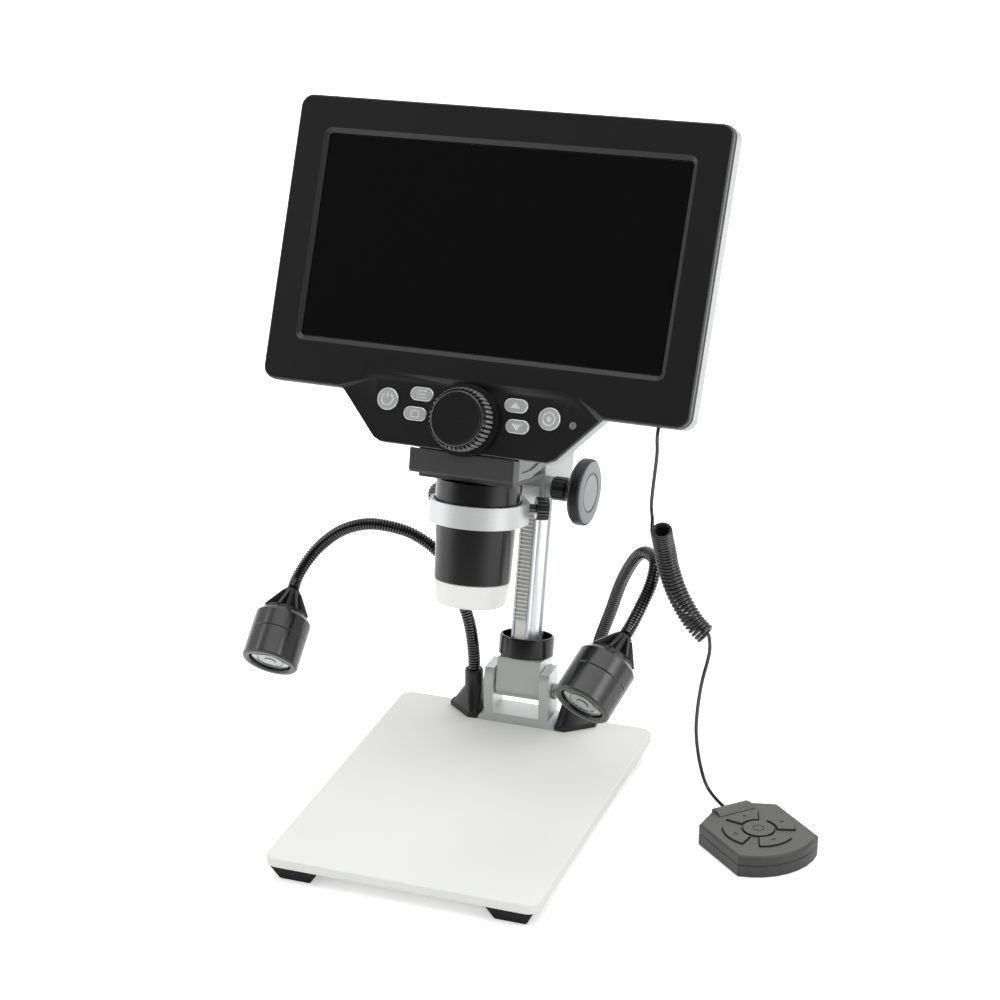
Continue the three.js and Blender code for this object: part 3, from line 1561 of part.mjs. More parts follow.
const face = new THREE.Group();
face.position.set(0, -faceForward, faceHeight);
face.rotation.x = -radians(faceTilt);
head.add(face);
const faceGroup = new THREE.Group();
faceGroup.rotation.x = quarterTurn;
face.add(faceGroup);
piece(faceGroup, 'front_bezel', buildBezel(), blackPlastic);
piece(faceGroup, 'screen_glass', buildGlass(), screenBlack);
piece(faceGroup, 'lcd_module', buildLcd(), steel);
piece(faceGroup, 'main_board', buildBoard(), boardGreen);
piece(faceGroup, 'key_board', buildKeyBoard(), boardGreen);
piece(faceGroup, 'rear_shell', buildShell(), silverPaint);
for (const place of buttonPlaces) {
  const top = buttonProud - panelSink;
  piece(faceGroup, place.name, buttonBody(place, 0, top - capLength, top), silverButton);
}
const indicator = shifted(
  rod(indicatorRadius, -panelSink - panelThick, -panelSink + gap, smallSides),
  indicatorAt, -indicatorRow, 0,
);
piece(faceGroup, 'indicator_led', indicator, clearLens);
piece(faceGroup, 'focus_knob', buildFocusKnob(), blackPlastic);

// The two lamps
for (const lamp of [
  { side: -1, name: 'left', route: leftNeckRoute, at: leftHeadAt, aim: leftHeadAim },
  { side: 1, name: 'right', route: rightNeckRoute, at: rightHeadAt, aim: rightHeadAim },
]) {
  const frame = lampFrame(lamp.at, lamp.aim);
  const neck = buildNeck(lamp.side, lamp.route, frame);
  piece(object, `lamp_base_${lamp.name}`, buildLampBase(lamp.side), blackPlastic);
  piece(object, `gooseneck_${lamp.name}`, neck.body, darkAnodised);
  console.log('gooseneck', lamp.name, neck.length.toFixed(1), 'mm');
  const lampGroup = new THREE.Group();
  lampGroup.position.copy(frame.position);
  lampGroup.quaternion.copy(frame.quaternion);
  object.add(lampGroup);
  piece(lampGroup, `lamp_fins_${lamp.name}`, buildFinCone(), darkAnodised);
  piece(lampGroup, `lamp_head_${lamp.name}`, buildLampHead(), darkAnodised);
  piece(lampGroup, `lamp_lens_${lamp.name}`, buildLampLens(), clearLens);
}

// The remote on the table
const floorZ = -plateThick - footHeight;
const remote = new THREE.Group();
remote.position.set(remoteX, remoteY, floorZ);
remote.rotation.z = radians(remoteTurn);
object.add(remote);
piece(remote, 'remote_base', buildRemoteBase(), remoteGrey);
piece(remote, 'remote_top', buildRemoteTop(), remoteGrey);
for (const place of remoteButtons) {
  const top = remoteHeight + remoteButtonRise;
  const bottom = remoteHeight - remoteButtonDepth;
  piece(remote, place.name, remoteButtonBody(place, 0, bottom, top), remoteGrey);
}

// The cord from the shell's underside to the remote
object.updateMatrixWorld(true);
const exit = faceGroup.localToWorld(
  new THREE.Vector3(cordExitAt, glandDepth - faceDepth / 2 - shellOver, -cordExitBack),
);
const exitAim = new THREE.Vector3(0, -1, 0).transformDirection(faceGroup.matrixWorld);
const entry = remote.localToWorld(new THREE.Vector3(glandDepth - remoteHalfLength, 0, entryRise));
const entryAim = new THREE.Vector3(-1, 0, 0).transformDirection(remote.matrixWorld);
buildCord(object, exit, exitAim, entry, entryAim);

export default object;
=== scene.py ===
import bpy
import math
from mathutils import Matrix, Vector


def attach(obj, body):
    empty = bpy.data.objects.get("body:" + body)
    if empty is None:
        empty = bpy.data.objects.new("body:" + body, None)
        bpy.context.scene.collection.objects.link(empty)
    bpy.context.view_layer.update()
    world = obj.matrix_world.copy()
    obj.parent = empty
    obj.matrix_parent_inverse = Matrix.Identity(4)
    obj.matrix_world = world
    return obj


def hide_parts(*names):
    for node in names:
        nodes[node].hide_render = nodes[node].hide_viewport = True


# Desk microscope: a screen head on a rack column, two gooseneck lamps and a wired remote.
# Each piece is drawn in millimetres in the frame of what carries it, then settled in metres.
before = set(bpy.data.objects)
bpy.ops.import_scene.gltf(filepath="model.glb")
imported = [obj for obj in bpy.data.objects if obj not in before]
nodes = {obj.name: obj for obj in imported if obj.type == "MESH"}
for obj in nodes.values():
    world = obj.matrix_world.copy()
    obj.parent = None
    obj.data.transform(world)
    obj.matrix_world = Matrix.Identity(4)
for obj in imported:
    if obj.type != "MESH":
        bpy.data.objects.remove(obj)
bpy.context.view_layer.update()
millimetre = 0.001
fullTurn = 2 * math.pi
print("frame loaded,", len(nodes), "parts")


def turned(axis, degrees):
    return Matrix.Rotation(math.radians(degrees), 4, axis)


def shifted(x, y, z):
    return Matrix.Translation(Vector((x, y, z)))


places = {
    "columnFootY": 70.5, "lean": -12.5, "swing": -4, "barrelReach": 66.8,
    "faceForward": 74.196, "faceHeight": 203.598, "faceTilt": -11.5,
    "knobStart": 12.2, "pinionForward": 13.57, "pinionRise": 104.6,
    "thumbRise": 103.1, "thumbTurn": 31,
    "remote": (119.7, 11.4, -11), "remoteTurn": -43,
}
tablePlace = Matrix.Identity(4)
leaningPlace = shifted(0, places["columnFootY"], 0) @ turned("X", places["lean"])
columnPlace = leaningPlace @ turned("Z", places["swing"])
barrelPlace = columnPlace @ shifted(0, -places["barrelReach"], 0)
facePlace = (columnPlace @ shifted(0, -places["faceForward"], places["faceHeight"])
             @ turned("X", places["faceTilt"]) @ turned("X", 90))
pinionPlace = columnPlace @ shifted(0, -places["pinionForward"], places["pinionRise"])
knobPlace = pinionPlace @ shifted(places["knobStart"], 0, 0) @ turned("Y", 90)
remotePlace = shifted(*places["remote"]) @ turned("Z", places["remoteTurn"])
thumbPlaces = {
    side: barrelPlace @ shifted(0, 0, places["thumbRise"]) @ turned("Z", angle) @ turned("Y", 90)
    for side, angle in (("right", places["thumbTurn"]), ("left", 180 - places["thumbTurn"]))
}

view = {
    "azimuth": 25.417, "elevation": 26.356, "roll": -2.612,
    "stand": (0.33375, -0.92701, 0.53335), "lens": 97.347, "sensor": 36, "shift": (0.27267, 0.19779),
}


def placeCamera():
    azimuth = math.radians(view["azimuth"])
    elevation = math.radians(view["elevation"])
    roll = math.radians(view["roll"])
    back = Vector((math.sin(azimuth) * math.cos(elevation),
                   -math.cos(azimuth) * math.cos(elevation), math.sin(elevation)))
    right = Vector((math.cos(azimuth), math.sin(azimuth), 0))
    up = back.cross(right)
    rolledRight = right * math.cos(roll) + up * math.sin(roll)
    rolledUp = up * math.cos(roll) - right * math.sin(roll)
    data = bpy.data.cameras.new("camera")
    data.sensor_fit = "HORIZONTAL"
    data.sensor_width = view["sensor"]
    data.lens = view["lens"]
    data.shift_x, data.shift_y = view["shift"]
    data.clip_end = 30
    data.dof.use_dof = False
    camera = bpy.data.objects.new("camera", data)
    bpy.context.scene.collection.objects.link(camera)
    camera.matrix_world = Matrix((rolledRight, rolledUp, back)).transposed().to_4x4()
    camera.location = view["stand"]
    bpy.context.scene.camera = camera


placeCamera()


def linearColour(code):
    channels = [int(code[i:i + 2], 16) / 255 for i in (1, 3, 5)]
    return (*(c / 12.92 if c <= 0.04045 else ((c + 0.055) / 1.055) ** 2.4 for c in channels), 1)


def addNode(tree, kind, settings, inputs):
    made = tree.nodes.new(kind)
    for name, value in settings.items():
        setattr(made, name, value)
    for name, value in inputs.items():
        if isinstance(value, bpy.types.NodeSocket):
            tree.links.new(value, made.inputs[name])
        else:
            made.inputs[name].default_value = value
    return made


def startMaterial(name, surface):
    made = bpy.data.materials.new(name)
    made.use_nodes = True
    shader = made.node_tree.nodes["Principled BSDF"]
    for socket, value in surface.items():
        shader.inputs[socket].default_value = value
    place = addNode(made.node_tree, "ShaderNodeTexCoord", {}, {})
    return made, made.node_tree, shader, place.outputs["Object"]


def grained(name, colours, roughness, grain, surface):
    # two close colours drift over centimetres, and a fine grain gives roughness and relief
    made, tree, shader, place = startMaterial(name, surface)
    drift = addNode(tree, "ShaderNodeTexNoise", {}, {
        "Vector": place, "Scale": 1 / (grain["drift"] * millimetre), "Detail": 2.0})
    mix = addNode(tree, "ShaderNodeMix", {"data_type": "RGBA"}, {
        "Factor": drift.outputs["Fac"], 6: linearColour(colours[0]), 7: linearColour(colours[1])})
    tree.links.new(mix.outputs[2], shader.inputs["Base Color"])
    fine = addNode(tree, "ShaderNodeTexNoise", {}, {
        "Vector": place, "Scale": 1 / (grain["size"] * millimetre), "Detail": 3.0})
    rough = addNode(tree, "ShaderNodeMapRange", {}, {
        "Value": fine.outputs["Fac"], "From Min": 0.3, "From Max": 0.7,
        "To Min": roughness[0], "To Max": roughness[1]})
    tree.links.new(rough.outputs["Result"], shader.inputs["Roughness"])
    bump = addNode(tree, "ShaderNodeBump", {}, {
        "Height": fine.outputs["Fac"], "Strength": grain["strength"],
        "Distance": grain["depth"] * millimetre})
    tree.links.new(bump.outputs["Normal"], shader.inputs["Normal"])
    return made


def brushed(name, colours, roughness, lines, place, surface):
    # fine scratches run along one axis of the part, and the colour streaks with them
    made, tree, shader, coordinates = startMaterial(name, surface)
    turn = place.to_3x3().inverted().to_euler()
    aligned = addNode(tree, "ShaderNodeMapping", {"vector_type": "POINT"}, {
        "Vector": coordinates, "Rotation": turn})
    across = 1 / (lines["width"] * millimetre)
    along = 1 / (lines["length"] * millimetre)
    scale = [along if axis in lines["axes"] else across for axis in "XYZ"]
    stretched = addNode(tree, "ShaderNodeMapping", {"vector_type": "POINT"}, {
        "Vector": aligned.outputs["Vector"], "Scale": scale})
    streak = addNode(tree, "ShaderNodeTexNoise", {}, {
        "Vector": stretched.outputs["Vector"], "Scale": 1.0, "Detail": 3.0, "Roughness": 0.6})
    mix = addNode(tree, "ShaderNodeMix", {"data_type": "RGBA"}, {
        "Factor": streak.outputs["Fac"], 6: linearColour(colours[0]), 7: linearColour(colours[1])})
    tree.links.new(mix.outputs[2], shader.inputs["Base Color"])
    rough = addNode(tree, "ShaderNodeMapRange", {}, {
        "Value": streak.outputs["Fac"], "From Min": 0.3, "From Max": 0.7,
        "To Min": roughness[0], "To Max": roughness[1]})
    tree.links.new(rough.outputs["Result"], shader.inputs["Roughness"])
    bump = addNode(tree, "ShaderNodeBump", {}, {
        "Height": streak.outputs["Fac"], "Strength": lines["strength"],
        "Distance": lines["depth"] * millimetre})
    tree.links.new(bump.outputs["Normal"], shader.inputs["Normal"])
    return made


def tintWhere(made, value, start, end, colour):
    # a second colour comes in as a value runs from its start to its end
    colourInput = made.node_tree.nodes["Principled BSDF"].inputs["Base Color"]
    share = addNode(made.node_tree, "ShaderNodeMapRange", {}, {
        "Value": value, "From Min": start, "From Max": end})
    mix = addNode(made.node_tree, "ShaderNodeMix", {"data_type": "RGBA"}, {
        "Factor": share.outputs["Result"], 6: colourInput.links[0].from_socket, 7: linearColour(colour)})
    made.node_tree.links.new(mix.outputs[2], colourInput)


def partCoordinates(made, place):
    # metres in the frame of the part, whichever way it leans
    coordinates = addNode(made.node_tree, "ShaderNodeTexCoord", {}, {})
    return addNode(made.node_tree, "ShaderNodeMapping", {"vector_type": "TEXTURE"}, {
        "Vector": coordinates.outputs["Object"], "Location": place.translation * millimetre,
        "Rotation": place.to_euler()}).outputs["Vector"]


def splitAxes(made, vector):
    return addNode(made.node_tree, "ShaderNodeSeparateXYZ", {}, {"Vector": vector}).outputs


# powder-coated steel: pale, matt, with a fine even grit
powderCoat = grained("powder coated steel", ("#DCDDD8", "#D8D9D4"), (0.5, 0.66),
                     {"drift": 60, "size": 0.5, "strength": 0.25, "depth": 0.05}, {"Specular IOR Level": 0.3})
# moulded rubber: dull and slightly grey where light rakes it
mouldedRubber = grained("moulded rubber", ("#101010", "#171717"), (0.7, 0.85),
                        {"drift": 12, "size": 0.35, "strength": 0.4, "depth": 0.08}, {"Specular IOR Level": 0.3})
# satin ABS: black plastic from a spark-eroded mould, a soft sheen over a fine grain
satinAbs = grained("satin black ABS", ("#101010", "#151515"), (0.34, 0.44),
                   {"drift": 30, "size": 0.45, "strength": 0.16, "depth": 0.03}, {"IOR": 1.5})
# matt ABS of the camera box: a coarser spark grain than the bezel's, and a greyer colour that is painted light for the
# box's lit side
mattAbs = grained("matt black ABS", ("#282828", "#2E2E2E"), (0.46, 0.56),
                  {"drift": 30, "size": 0.5, "strength": 0.2, "depth": 0.03}, {"IOR": 1.5})
# smooth ABS: the barrel's polished moulding, dark with clear reflections down its sides
smoothAbs = grained("smooth black ABS", ("#0B0B0B", "#0E0E0E"), (0.2, 0.23),
                    {"drift": 25, "size": 6, "strength": 0.02, "depth": 0.01}, {"Specular IOR Level": 0.36})
# polished ABS: the flutes of the thumb screws, each one a hard bright bar where it faces a lamp
polishedAbs = grained("polished black ABS", ("#0C0C0C", "#101010"), (0.12, 0.17),
                      {"drift": 25, "size": 5, "strength": 0.02, "depth": 0.01}, {"Specular IOR Level": 1.0})
# bezel ABS: satin black with a faint warm grey
bezelAbs = grained("bezel black ABS", ("#0D0D0D", "#101010"), (0.3, 0.38),
                   {"drift": 45, "size": 0.4, "strength": 0.12, "depth": 0.02}, {"IOR": 1.5})
# silver paint over ABS: metallic flake under a satin lacquer
silverPaint = grained("silver painted ABS", ("#A0A2A2", "#AAACAC"), (0.34, 0.44),
                      {"drift": 20, "size": 0.25, "strength": 0.12, "depth": 0.03}, {"Metallic": 0.55})
# darker silver paint of the housing: the same flake under a duller lacquer, made greyer as painted shade
shadedHousingPaint = grained("dull silver painted ABS with painted shade", ("#6C6E6E", "#767878"), (0.4, 0.5),
                       {"drift": 20, "size": 0.25, "strength": 0.12, "depth": 0.03}, {"Metallic": 0.5})
# acetal: milky white engineering plastic, with painted grey shade between the teeth
acetal = grained("white acetal", ("#D6D6D2", "#DEDEDA"), (0.42, 0.52),
                 {"drift": 10, "size": 0.3, "strength": 0.1, "depth": 0.02}, {})
rackAxes = splitAxes(acetal, partCoordinates(acetal, columnPlace))
# painted shade: greyer towards the roots of the teeth, where shade falls between them
tintWhere(acetal, rackAxes["Y"], -0.00995, -0.0094, "#B9BAB7")
# slightly greyer below 44 mm up the column
tintWhere(acetal, rackAxes["Z"], 0.0446, 0.0442, "#D2D2CE")
# plated ABS keys: satin metal, with a painted highlight, near white, on the rolled rim and in the sunk marks
satinChrome = grained("satin plated key", ("#BABCBC", "#C6C8C8"), (0.28, 0.36),
                      {"drift": 6, "size": 0.2, "strength": 0.1, "depth": 0.02}, {"Metallic": 0.6})
# painted highlight: everything below the top face of a key, its rim, sides and marks, turns near white
tintWhere(satinChrome, splitAxes(satinChrome, partCoordinates(satinChrome, facePlace))["Z"],
          -0.00104, -0.00112, "#FBFBFA")
# remote ABS: dark grey, matt, coarse spark grain, with painted light making the upward faces lighter
remoteAbs = grained("matt grey ABS", ("#2A2A29", "#313130"), (0.46, 0.58),
                    {"drift": 18, "size": 0.35, "strength": 0.35, "depth": 0.06}, {"IOR": 1.5})
topDirection = addNode(remoteAbs.node_tree, "ShaderNodeTexCoord", {}, {}).outputs["Normal"]
# painted light: faces that point up are lighter, as if lit from above
tintWhere(remoteAbs, splitAxes(remoteAbs, topDirection)["Z"], 0.6, 0.95, "#525251")
# smoked acrylic: the small indicator, a plain grey dot when it is off
smokedAcrylic = grained("smoked acrylic", ("#626464", "#6A6C6C"), (0.2, 0.28),
                        {"drift": 5, "size": 1, "strength": 0.02, "depth": 0.01}, {"IOR": 1.49})
# PVC cord jacket: black and waxy
cordPvc = grained("black PVC", ("#0F0F0F", "#161616"), (0.18, 0.24),
                  {"drift": 8, "size": 0.3, "strength": 0.1, "depth": 0.02}, {"Specular IOR Level": 0.7})
# lacquered steel strip of the goosenecks: each rib catches a bright line
neckLacquer = grained("black lacquered steel", ("#0F0F10", "#171718"), (0.1, 0.15),
                      {"drift": 9, "size": 3, "strength": 0.02, "depth": 0.01}, {"Specular IOR Level": 1.0})
# polycarbonate diffuser: white and milky, light bleeds through its wall
frostedPolycarbonate = grained("frosted polycarbonate", ("#E0E0DE", "#E5E5E3"), (0.34, 0.44),
                               {"drift": 20, "size": 0.5, "strength": 0.05, "depth": 0.02}, {
                                   "Subsurface Weight": 0.35, "Subsurface Scale": 0.004,
                                   "Subsurface Radius": (1.0, 1.0, 1.0), "IOR": 1.5})
# glass-epoxy boards under green solder mask
solderMask = grained("green solder mask", ("#1D5B3A", "#226843"), (0.4, 0.5),
                     {"drift": 10, "size": 0.4, "strength": 0.1, "depth": 0.02}, {})
# tinned steel can of the display module
tinnedSteel = grained("tinned steel", ("#9EA0A1", "#ABADAE"), (0.34, 0.46),
                      {"drift": 14, "size": 0.3, "strength": 0.1, "depth": 0.02}, {"Metallic": 0.9})
# cover glass over the dark display
coverGlass = grained("dark cover glass", ("#030303", "#040404"), (0.068, 0.074),
                     {"drift": 70, "size": 3, "strength": 0.0, "depth": 0.0}, {"IOR": 1.45})
# extruded aluminium with a bead-blasted, clear anodised skin: scratches follow the length
columnAluminium = brushed("extruded aluminium", ("#D2D4D5", "#E2E4E5"), (0.3, 0.42),
                          {"width": 0.12, "length": 40, "axes": "Z", "strength": 0.12, "depth": 0.03},
                          columnPlace, {"Metallic": 0.8})
# turned aluminium: rings of the cutting tool run round the axis
ringAluminium = brushed("turned aluminium", ("#BEC0C0", "#CCCECE"), (0.36, 0.48),
                        {"width": 0.14, "length": 60, "axes": "XY", "strength": 0.15, "depth": 0.03},
                        columnPlace, {"Metallic": 0.55})
# the bracket's and the block's extruded skin is bright, and their faces towards the front carry painted shade
frontShadedAluminium = {}
for alloyPart, frontShadeColour in (("bracket", "#B6B8B7"), ("block", "#B4B6B5")):
    frontShadedMetal = brushed("front shaded aluminium " + alloyPart, ("#D0D2D1", "#DCDEDD"), (0.34, 0.46),
                   {"width": 0.16, "length": 30, "axes": "X", "strength": 0.15, "depth": 0.03},
                   tablePlace, {"Metallic": 0.6})
    facingDirection = addNode(frontShadedMetal.node_tree, "ShaderNodeTexCoord", {}, {}).outputs["Normal"]
    # painted shade: faces that point towards the front, away from the lamps, take the darker colour
    tintWhere(frontShadedMetal, splitAxes(frontShadedMetal, facingDirection)["Y"], -0.7, -0.9, frontShadeColour)
    frontShadedAluminium[alloyPart] = frontShadedMetal
# ground steel pins and shafts
groundSteel = brushed("ground steel", ("#8E9091", "#9EA0A1"), (0.28, 0.4),
                      {"width": 0.1, "length": 12, "axes": "YZ", "strength": 0.15, "depth": 0.02},
                      tablePlace, {"Metallic": 1.0})
print("finishes mixed")


def clearSelection():
    if bpy.context.object and bpy.context.object.mode != "OBJECT":
        bpy.ops.object.mode_set(mode="OBJECT")
    bpy.ops.object.select_all(action="DESELECT")


def pick(piece):
    clearSelection()
    piece.select_set(True)
    bpy.context.view_layer.objects.active = piece


def openMesh(piece, mode="VERT"):
    pick(piece)
    bpy.ops.object.mode_set(mode="EDIT")
    bpy.ops.mesh.select_mode(type=mode)
    bpy.ops.mesh.select_all(action="SELECT")


def closeMesh():
    bpy.ops.object.mode_set(mode="OBJECT")


def drawOutline(name, points, low, high, endScale=1):
    # a filled circle is pulled to the outline, then extruded to its height
    clearSelection()
    bpy.ops.mesh.primitive_circle_add(vertices=len(points), fill_type="NGON")
    piece = bpy.context.object
    piece.name = name
    for vertex, (x, y) in zip(piece.data.vertices, points):
        vertex.co = (x, y, low)
    openMesh(piece)
    bpy.ops.mesh.extrude_region_move(TRANSFORM_OT_translate={"value": (0, 0, high - low)})
    if endScale != 1:
        bpy.ops.transform.resize(value=(endScale, endScale, 1), center_override=(0, 0, high))
    bpy.ops.mesh.select_all(action="SELECT")
    bpy.ops.mesh.normals_make_consistent(inside=False)
    closeMesh()
    return piece


def drawTurned(name, profile, sides=96):
    # a single corner of a plane is extruded along the profile, then spun about Z
    clearSelection()
    bpy.ops.mesh.primitive_plane_add(size=1)
    piece = bpy.context.object
    piece.name = name
    openMesh(piece)
    bpy.ops.mesh.merge(type="CENTER")
    closeMesh()
    piece.data.vertices[0].co = (profile[0][0], 0, profile[0][1])
    openMesh(piece)
    for (radius, height), (nextRadius, nextHeight) in zip(profile, profile[1:]):
        bpy.ops.mesh.extrude_region_move(TRANSFORM_OT_translate={
            "value": (nextRadius - radius, 0, nextHeight - height)})
    bpy.ops.mesh.select_all(action="SELECT")
    bpy.ops.mesh.spin(steps=sides, angle=fullTurn, center=(0, 0, 0), axis=(0, 0, 1))
    bpy.ops.mesh.select_all(action="SELECT")
    bpy.ops.mesh.remove_doubles(threshold=0.0005)
    bpy.ops.mesh.normals_make_consistent(inside=False)
    closeMesh()
    return piece


def copyPart(node, place):
    # the part's own solid, merged and drawn in the millimetres of its carrier
    piece = bpy.data.objects.new(node + "_shape", nodes[node].data.copy())
    bpy.context.scene.collection.objects.link(piece)
    piece.data.materials.clear()
    piece.data.transform(Matrix.Scale(1 / millimetre, 4) @ atMetres(place).inverted())
    openMesh(piece)
    bpy.ops.mesh.customdata_custom_splitnormals_clear()
    bpy.ops.mesh.remove_doubles(threshold=0.002)
    bpy.ops.mesh.dissolve_limited(angle_limit=math.radians(0.6))
    closeMesh()
    return piece


def atMetres(place):
    turn = place.to_3x3().to_4x4()
    return Matrix.Translation(place.translation * millimetre) @ turn


def useModifier(piece, kind, **settings):
    pick(piece)
    modifier = piece.modifiers.new(kind.lower(), kind)
    for name, value in settings.items():
        setattr(modifier, name, value)
    bpy.ops.object.modifier_apply(modifier=modifier.name)
    return piece


def cutAway(piece, *cutters):
    for cutter in cutters:
        useModifier(piece, "BOOLEAN", operation="DIFFERENCE", solver="EXACT", object=cutter)
        bpy.data.objects.remove(cutter)
    return piece


def weldOn(piece, *others):
    for other in others:
        useModifier(piece, "BOOLEAN", operation="UNION", solver="EXACT", object=other)
        bpy.data.objects.remove(other)
    return piece


def movePiece(piece, place):
    piece.data.transform(place)
    return piece


def soften(piece, width, segments=2, angle=40):
    useModifier(piece, "BEVEL", width=width, segments=segments, limit_method="ANGLE",
                angle_limit=math.radians(angle), use_clamp_overlap=True, miter_outer="MITER_ARC")
    return piece


def settle(piece, place, body, parts, material, smooth=35):
    # the finished piece goes to its place in metres and takes over from the parts it details
    piece.data.transform(atMetres(place) @ Matrix.Scale(millimetre, 4))
    pick(piece)
    bpy.ops.object.shade_smooth_by_angle(angle=math.radians(smooth))
    useModifier(piece, "WEIGHTED_NORMAL", keep_sharp=True, weight=60)
    piece.data.materials.clear()
    piece.data.materials.append(material)
    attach(piece, body)
    if parts:
        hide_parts(*parts)
    return piece


def smoothPath(points, steps, closeness=0.5):
    # a centripetal curve through the points, with its places spread evenly along it
    ends = [points[0] * 2 - points[1], *points, points[-1] * 2 - points[-2]]
    fine = []
    for a, b, c, d in zip(ends, ends[1:], ends[2:], ends[3:]):
        knots = [0]
        for start, end in ((a, b), (b, c), (c, d)):
            knots.append(knots[-1] + (end - start).length ** closeness)
        for i in range(24):
            t = knots[1] + (knots[2] - knots[1]) * i / 24
            ab = a.lerp(b, (t - knots[0]) / (knots[1] - knots[0]))
            bc = b.lerp(c, (t - knots[1]) / (knots[2] - knots[1]))
            cd = c.lerp(d, (t - knots[2]) / (knots[3] - knots[2]))
            abc = ab.lerp(bc, (t - knots[0]) / (knots[2] - knots[0]))
            bcd = bc.lerp(cd, (t - knots[1]) / (knots[3] - knots[1]))
            fine.append(abc.lerp(bcd, (t - knots[1]) / (knots[2] - knots[1])))
    fine.append(points[-1])
    return spreadEvenly(fine, steps)


def spreadEvenly(fine, steps):
    lengths = [0]
    for start, end in zip(fine, fine[1:]):
        lengths.append(lengths[-1] + (end - start).length)
    spread = []
    span = 0
    for step in range(steps + 1):
        wanted = lengths[-1] * step / steps
        while span < len(fine) - 2 and lengths[span + 1] < wanted:
            span += 1
        share = (wanted - lengths[span]) / max(lengths[span + 1] - lengths[span], 1e-9)
        spread.append(fine[span].lerp(fine[span + 1], min(share, 1)))
    return spread


def pathLength(points):
    return sum((end - start).length for start, end in zip(points, points[1:]))


# the cord: down from the screen head, a curled stretch, then down to the remote
cord = {
    "diameter": 1.5, "coilOuter": 8.8, "coilTurns": 32.25, "coilSteps": 18, "sides": 4,
    "upperRoute": [(70.2, 22.5, 148.9), (68.5, 24.5, 134.1), (67.6, 26, 125.6)],
    "coilRoute": [(71.1, 28.8, 114.5), (70.9, 32.3, 109), (71.4, 35, 102.8), (72.4, 36.6, 95.6),
                  (75.3, 36.8, 87), (79.5, 36.4, 79.3), (84.5, 35.6, 72.9), (89.2, 34.6, 69.2)],
    "lowerRoute": [(91.5, 32.4, 64), (89.4, 30, 49.9), (88.5, 28.5, 38.5), (88.8, 27, 28.8),
                   (91.4, 24.8, 16.6), (95.3, 22.8, 7.6)],
    "exit": (77, -56.35, -6.6), "exitAim": (0, -1, 0), "entry": (-20.4, 0, 7.2), "entryAim": (-1, 0, 0),
    "gap": 0.3,
}


def coilPoints():
    axis = smoothPath([Vector(point) for point in cord["coilRoute"]], round(cord["coilTurns"] * cord["coilSteps"]))
    radius = (cord["coilOuter"] - cord["diameter"]) / 2
    normal = None
    points = []
    for i, centre in enumerate(axis):
        tangent = (axis[min(i + 1, len(axis) - 1)] - axis[max(i - 1, 0)]).normalized()
        normal = normal or Vector((0, 0, 1)).cross(tangent)
        normal = (normal - tangent * normal.dot(tangent)).normalized()
        angle = i / cord["coilSteps"] * fullTurn
        side = tangent.cross(normal)
        points.append(centre + normal * radius * math.cos(angle) - side * radius * math.sin(angle))
    return points


def layCord(name, points, body, part):
    data = bpy.data.curves.new(name, "CURVE")
    data.dimensions = "3D"
    spline = data.splines.new("POLY")
    spline.points.add(len(points) - 1)
    for place, point in zip(spline.points, points):
        place.co = (*(point * millimetre), 1)
    data.bevel_depth = cord["diameter"] / 2 * millimetre
    data.bevel_resolution = cord["sides"]
    data.use_fill_caps = True
    piece = bpy.data.objects.new(name, data)
    bpy.context.scene.collection.objects.link(piece)
    data.materials.append(cordPvc)
    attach(piece, body)
    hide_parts(part)


def layCords():
    gap = cord["gap"]
    step = cord["diameter"]
    exitAt = facePlace @ Vector(cord["exit"])
    exitAim = facePlace.to_3x3() @ Vector(cord["exitAim"])
    entryAt = remotePlace @ Vector(cord["entry"])
    entryAim = remotePlace.to_3x3() @ Vector(cord["entryAim"])
    turns = coilPoints()
    headAim = (turns[0] - turns[1]).normalized()
    tailAim = (turns[-1] - turns[-2]).normalized()
    coilTop = turns[0] + headAim * step
    coilEnd = turns[-1] + tailAim * step
    upper = [exitAt + exitAim * gap, exitAt + exitAim * 3 * step,
             *(Vector(point) for point in cord["upperRoute"]),
             coilTop + headAim * 2 * step, coilTop + headAim * gap]
    lower = [coilEnd + tailAim * gap, coilEnd + tailAim * 2 * step,
             *(Vector(point) for point in cord["lowerRoute"]),
             entryAt + entryAim * 3 * step, entryAt + entryAim * gap]
    layCord("cord_from_head", smoothPath(upper, 60), "head", "cord_upper")
    layCord("cord_curls", [coilTop, *turns, coilEnd], "base", "cord_coil")
    layCord("cord_to_remote", smoothPath(lower, 100), "base", "cord_lower")


layCords()


def arcPoints(radius, start, end, steps, x=0, y=0):
    return [(x + radius * math.cos(start + (end - start) * i / steps),
             y + radius * math.sin(start + (end - start) * i / steps)) for i in range(steps + 1)]


def roundedOutline(width, depth, radius, steps=8, x=0, y=0):
    right, top = width / 2 - radius, depth / 2 - radius
    quarter = math.pi / 2
    points = []
    for i, (cx, cy) in enumerate(((right, top), (-right, top), (-right, -top), (right, -top))):
        points += arcPoints(radius, i * quarter, (i + 1) * quarter, steps, x + cx, y + cy)
    return points


# stage plate: a powder-coated slab with rounded corners and a fine edge
plate = {"width": 114, "depth": 157.8, "thick": 4.3, "corner": 5, "edge": 0.6}


def makePlate():
    piece = drawOutline("stage_plate", roundedOutline(plate["width"], plate["depth"], plate["corner"]),
                        -plate["thick"], 0)
    soften(piece, plate["edge"], 3)
    settle(piece, tablePlace, "base", ["base_plate"], powderCoat)


# feet: tapered rubber blocks under the corners
foot = {"top": 19.5, "bottom": 13.2, "height": 6.7, "insets": (2.2, 0.5), "corner": 1.2, "edge": 0.5}


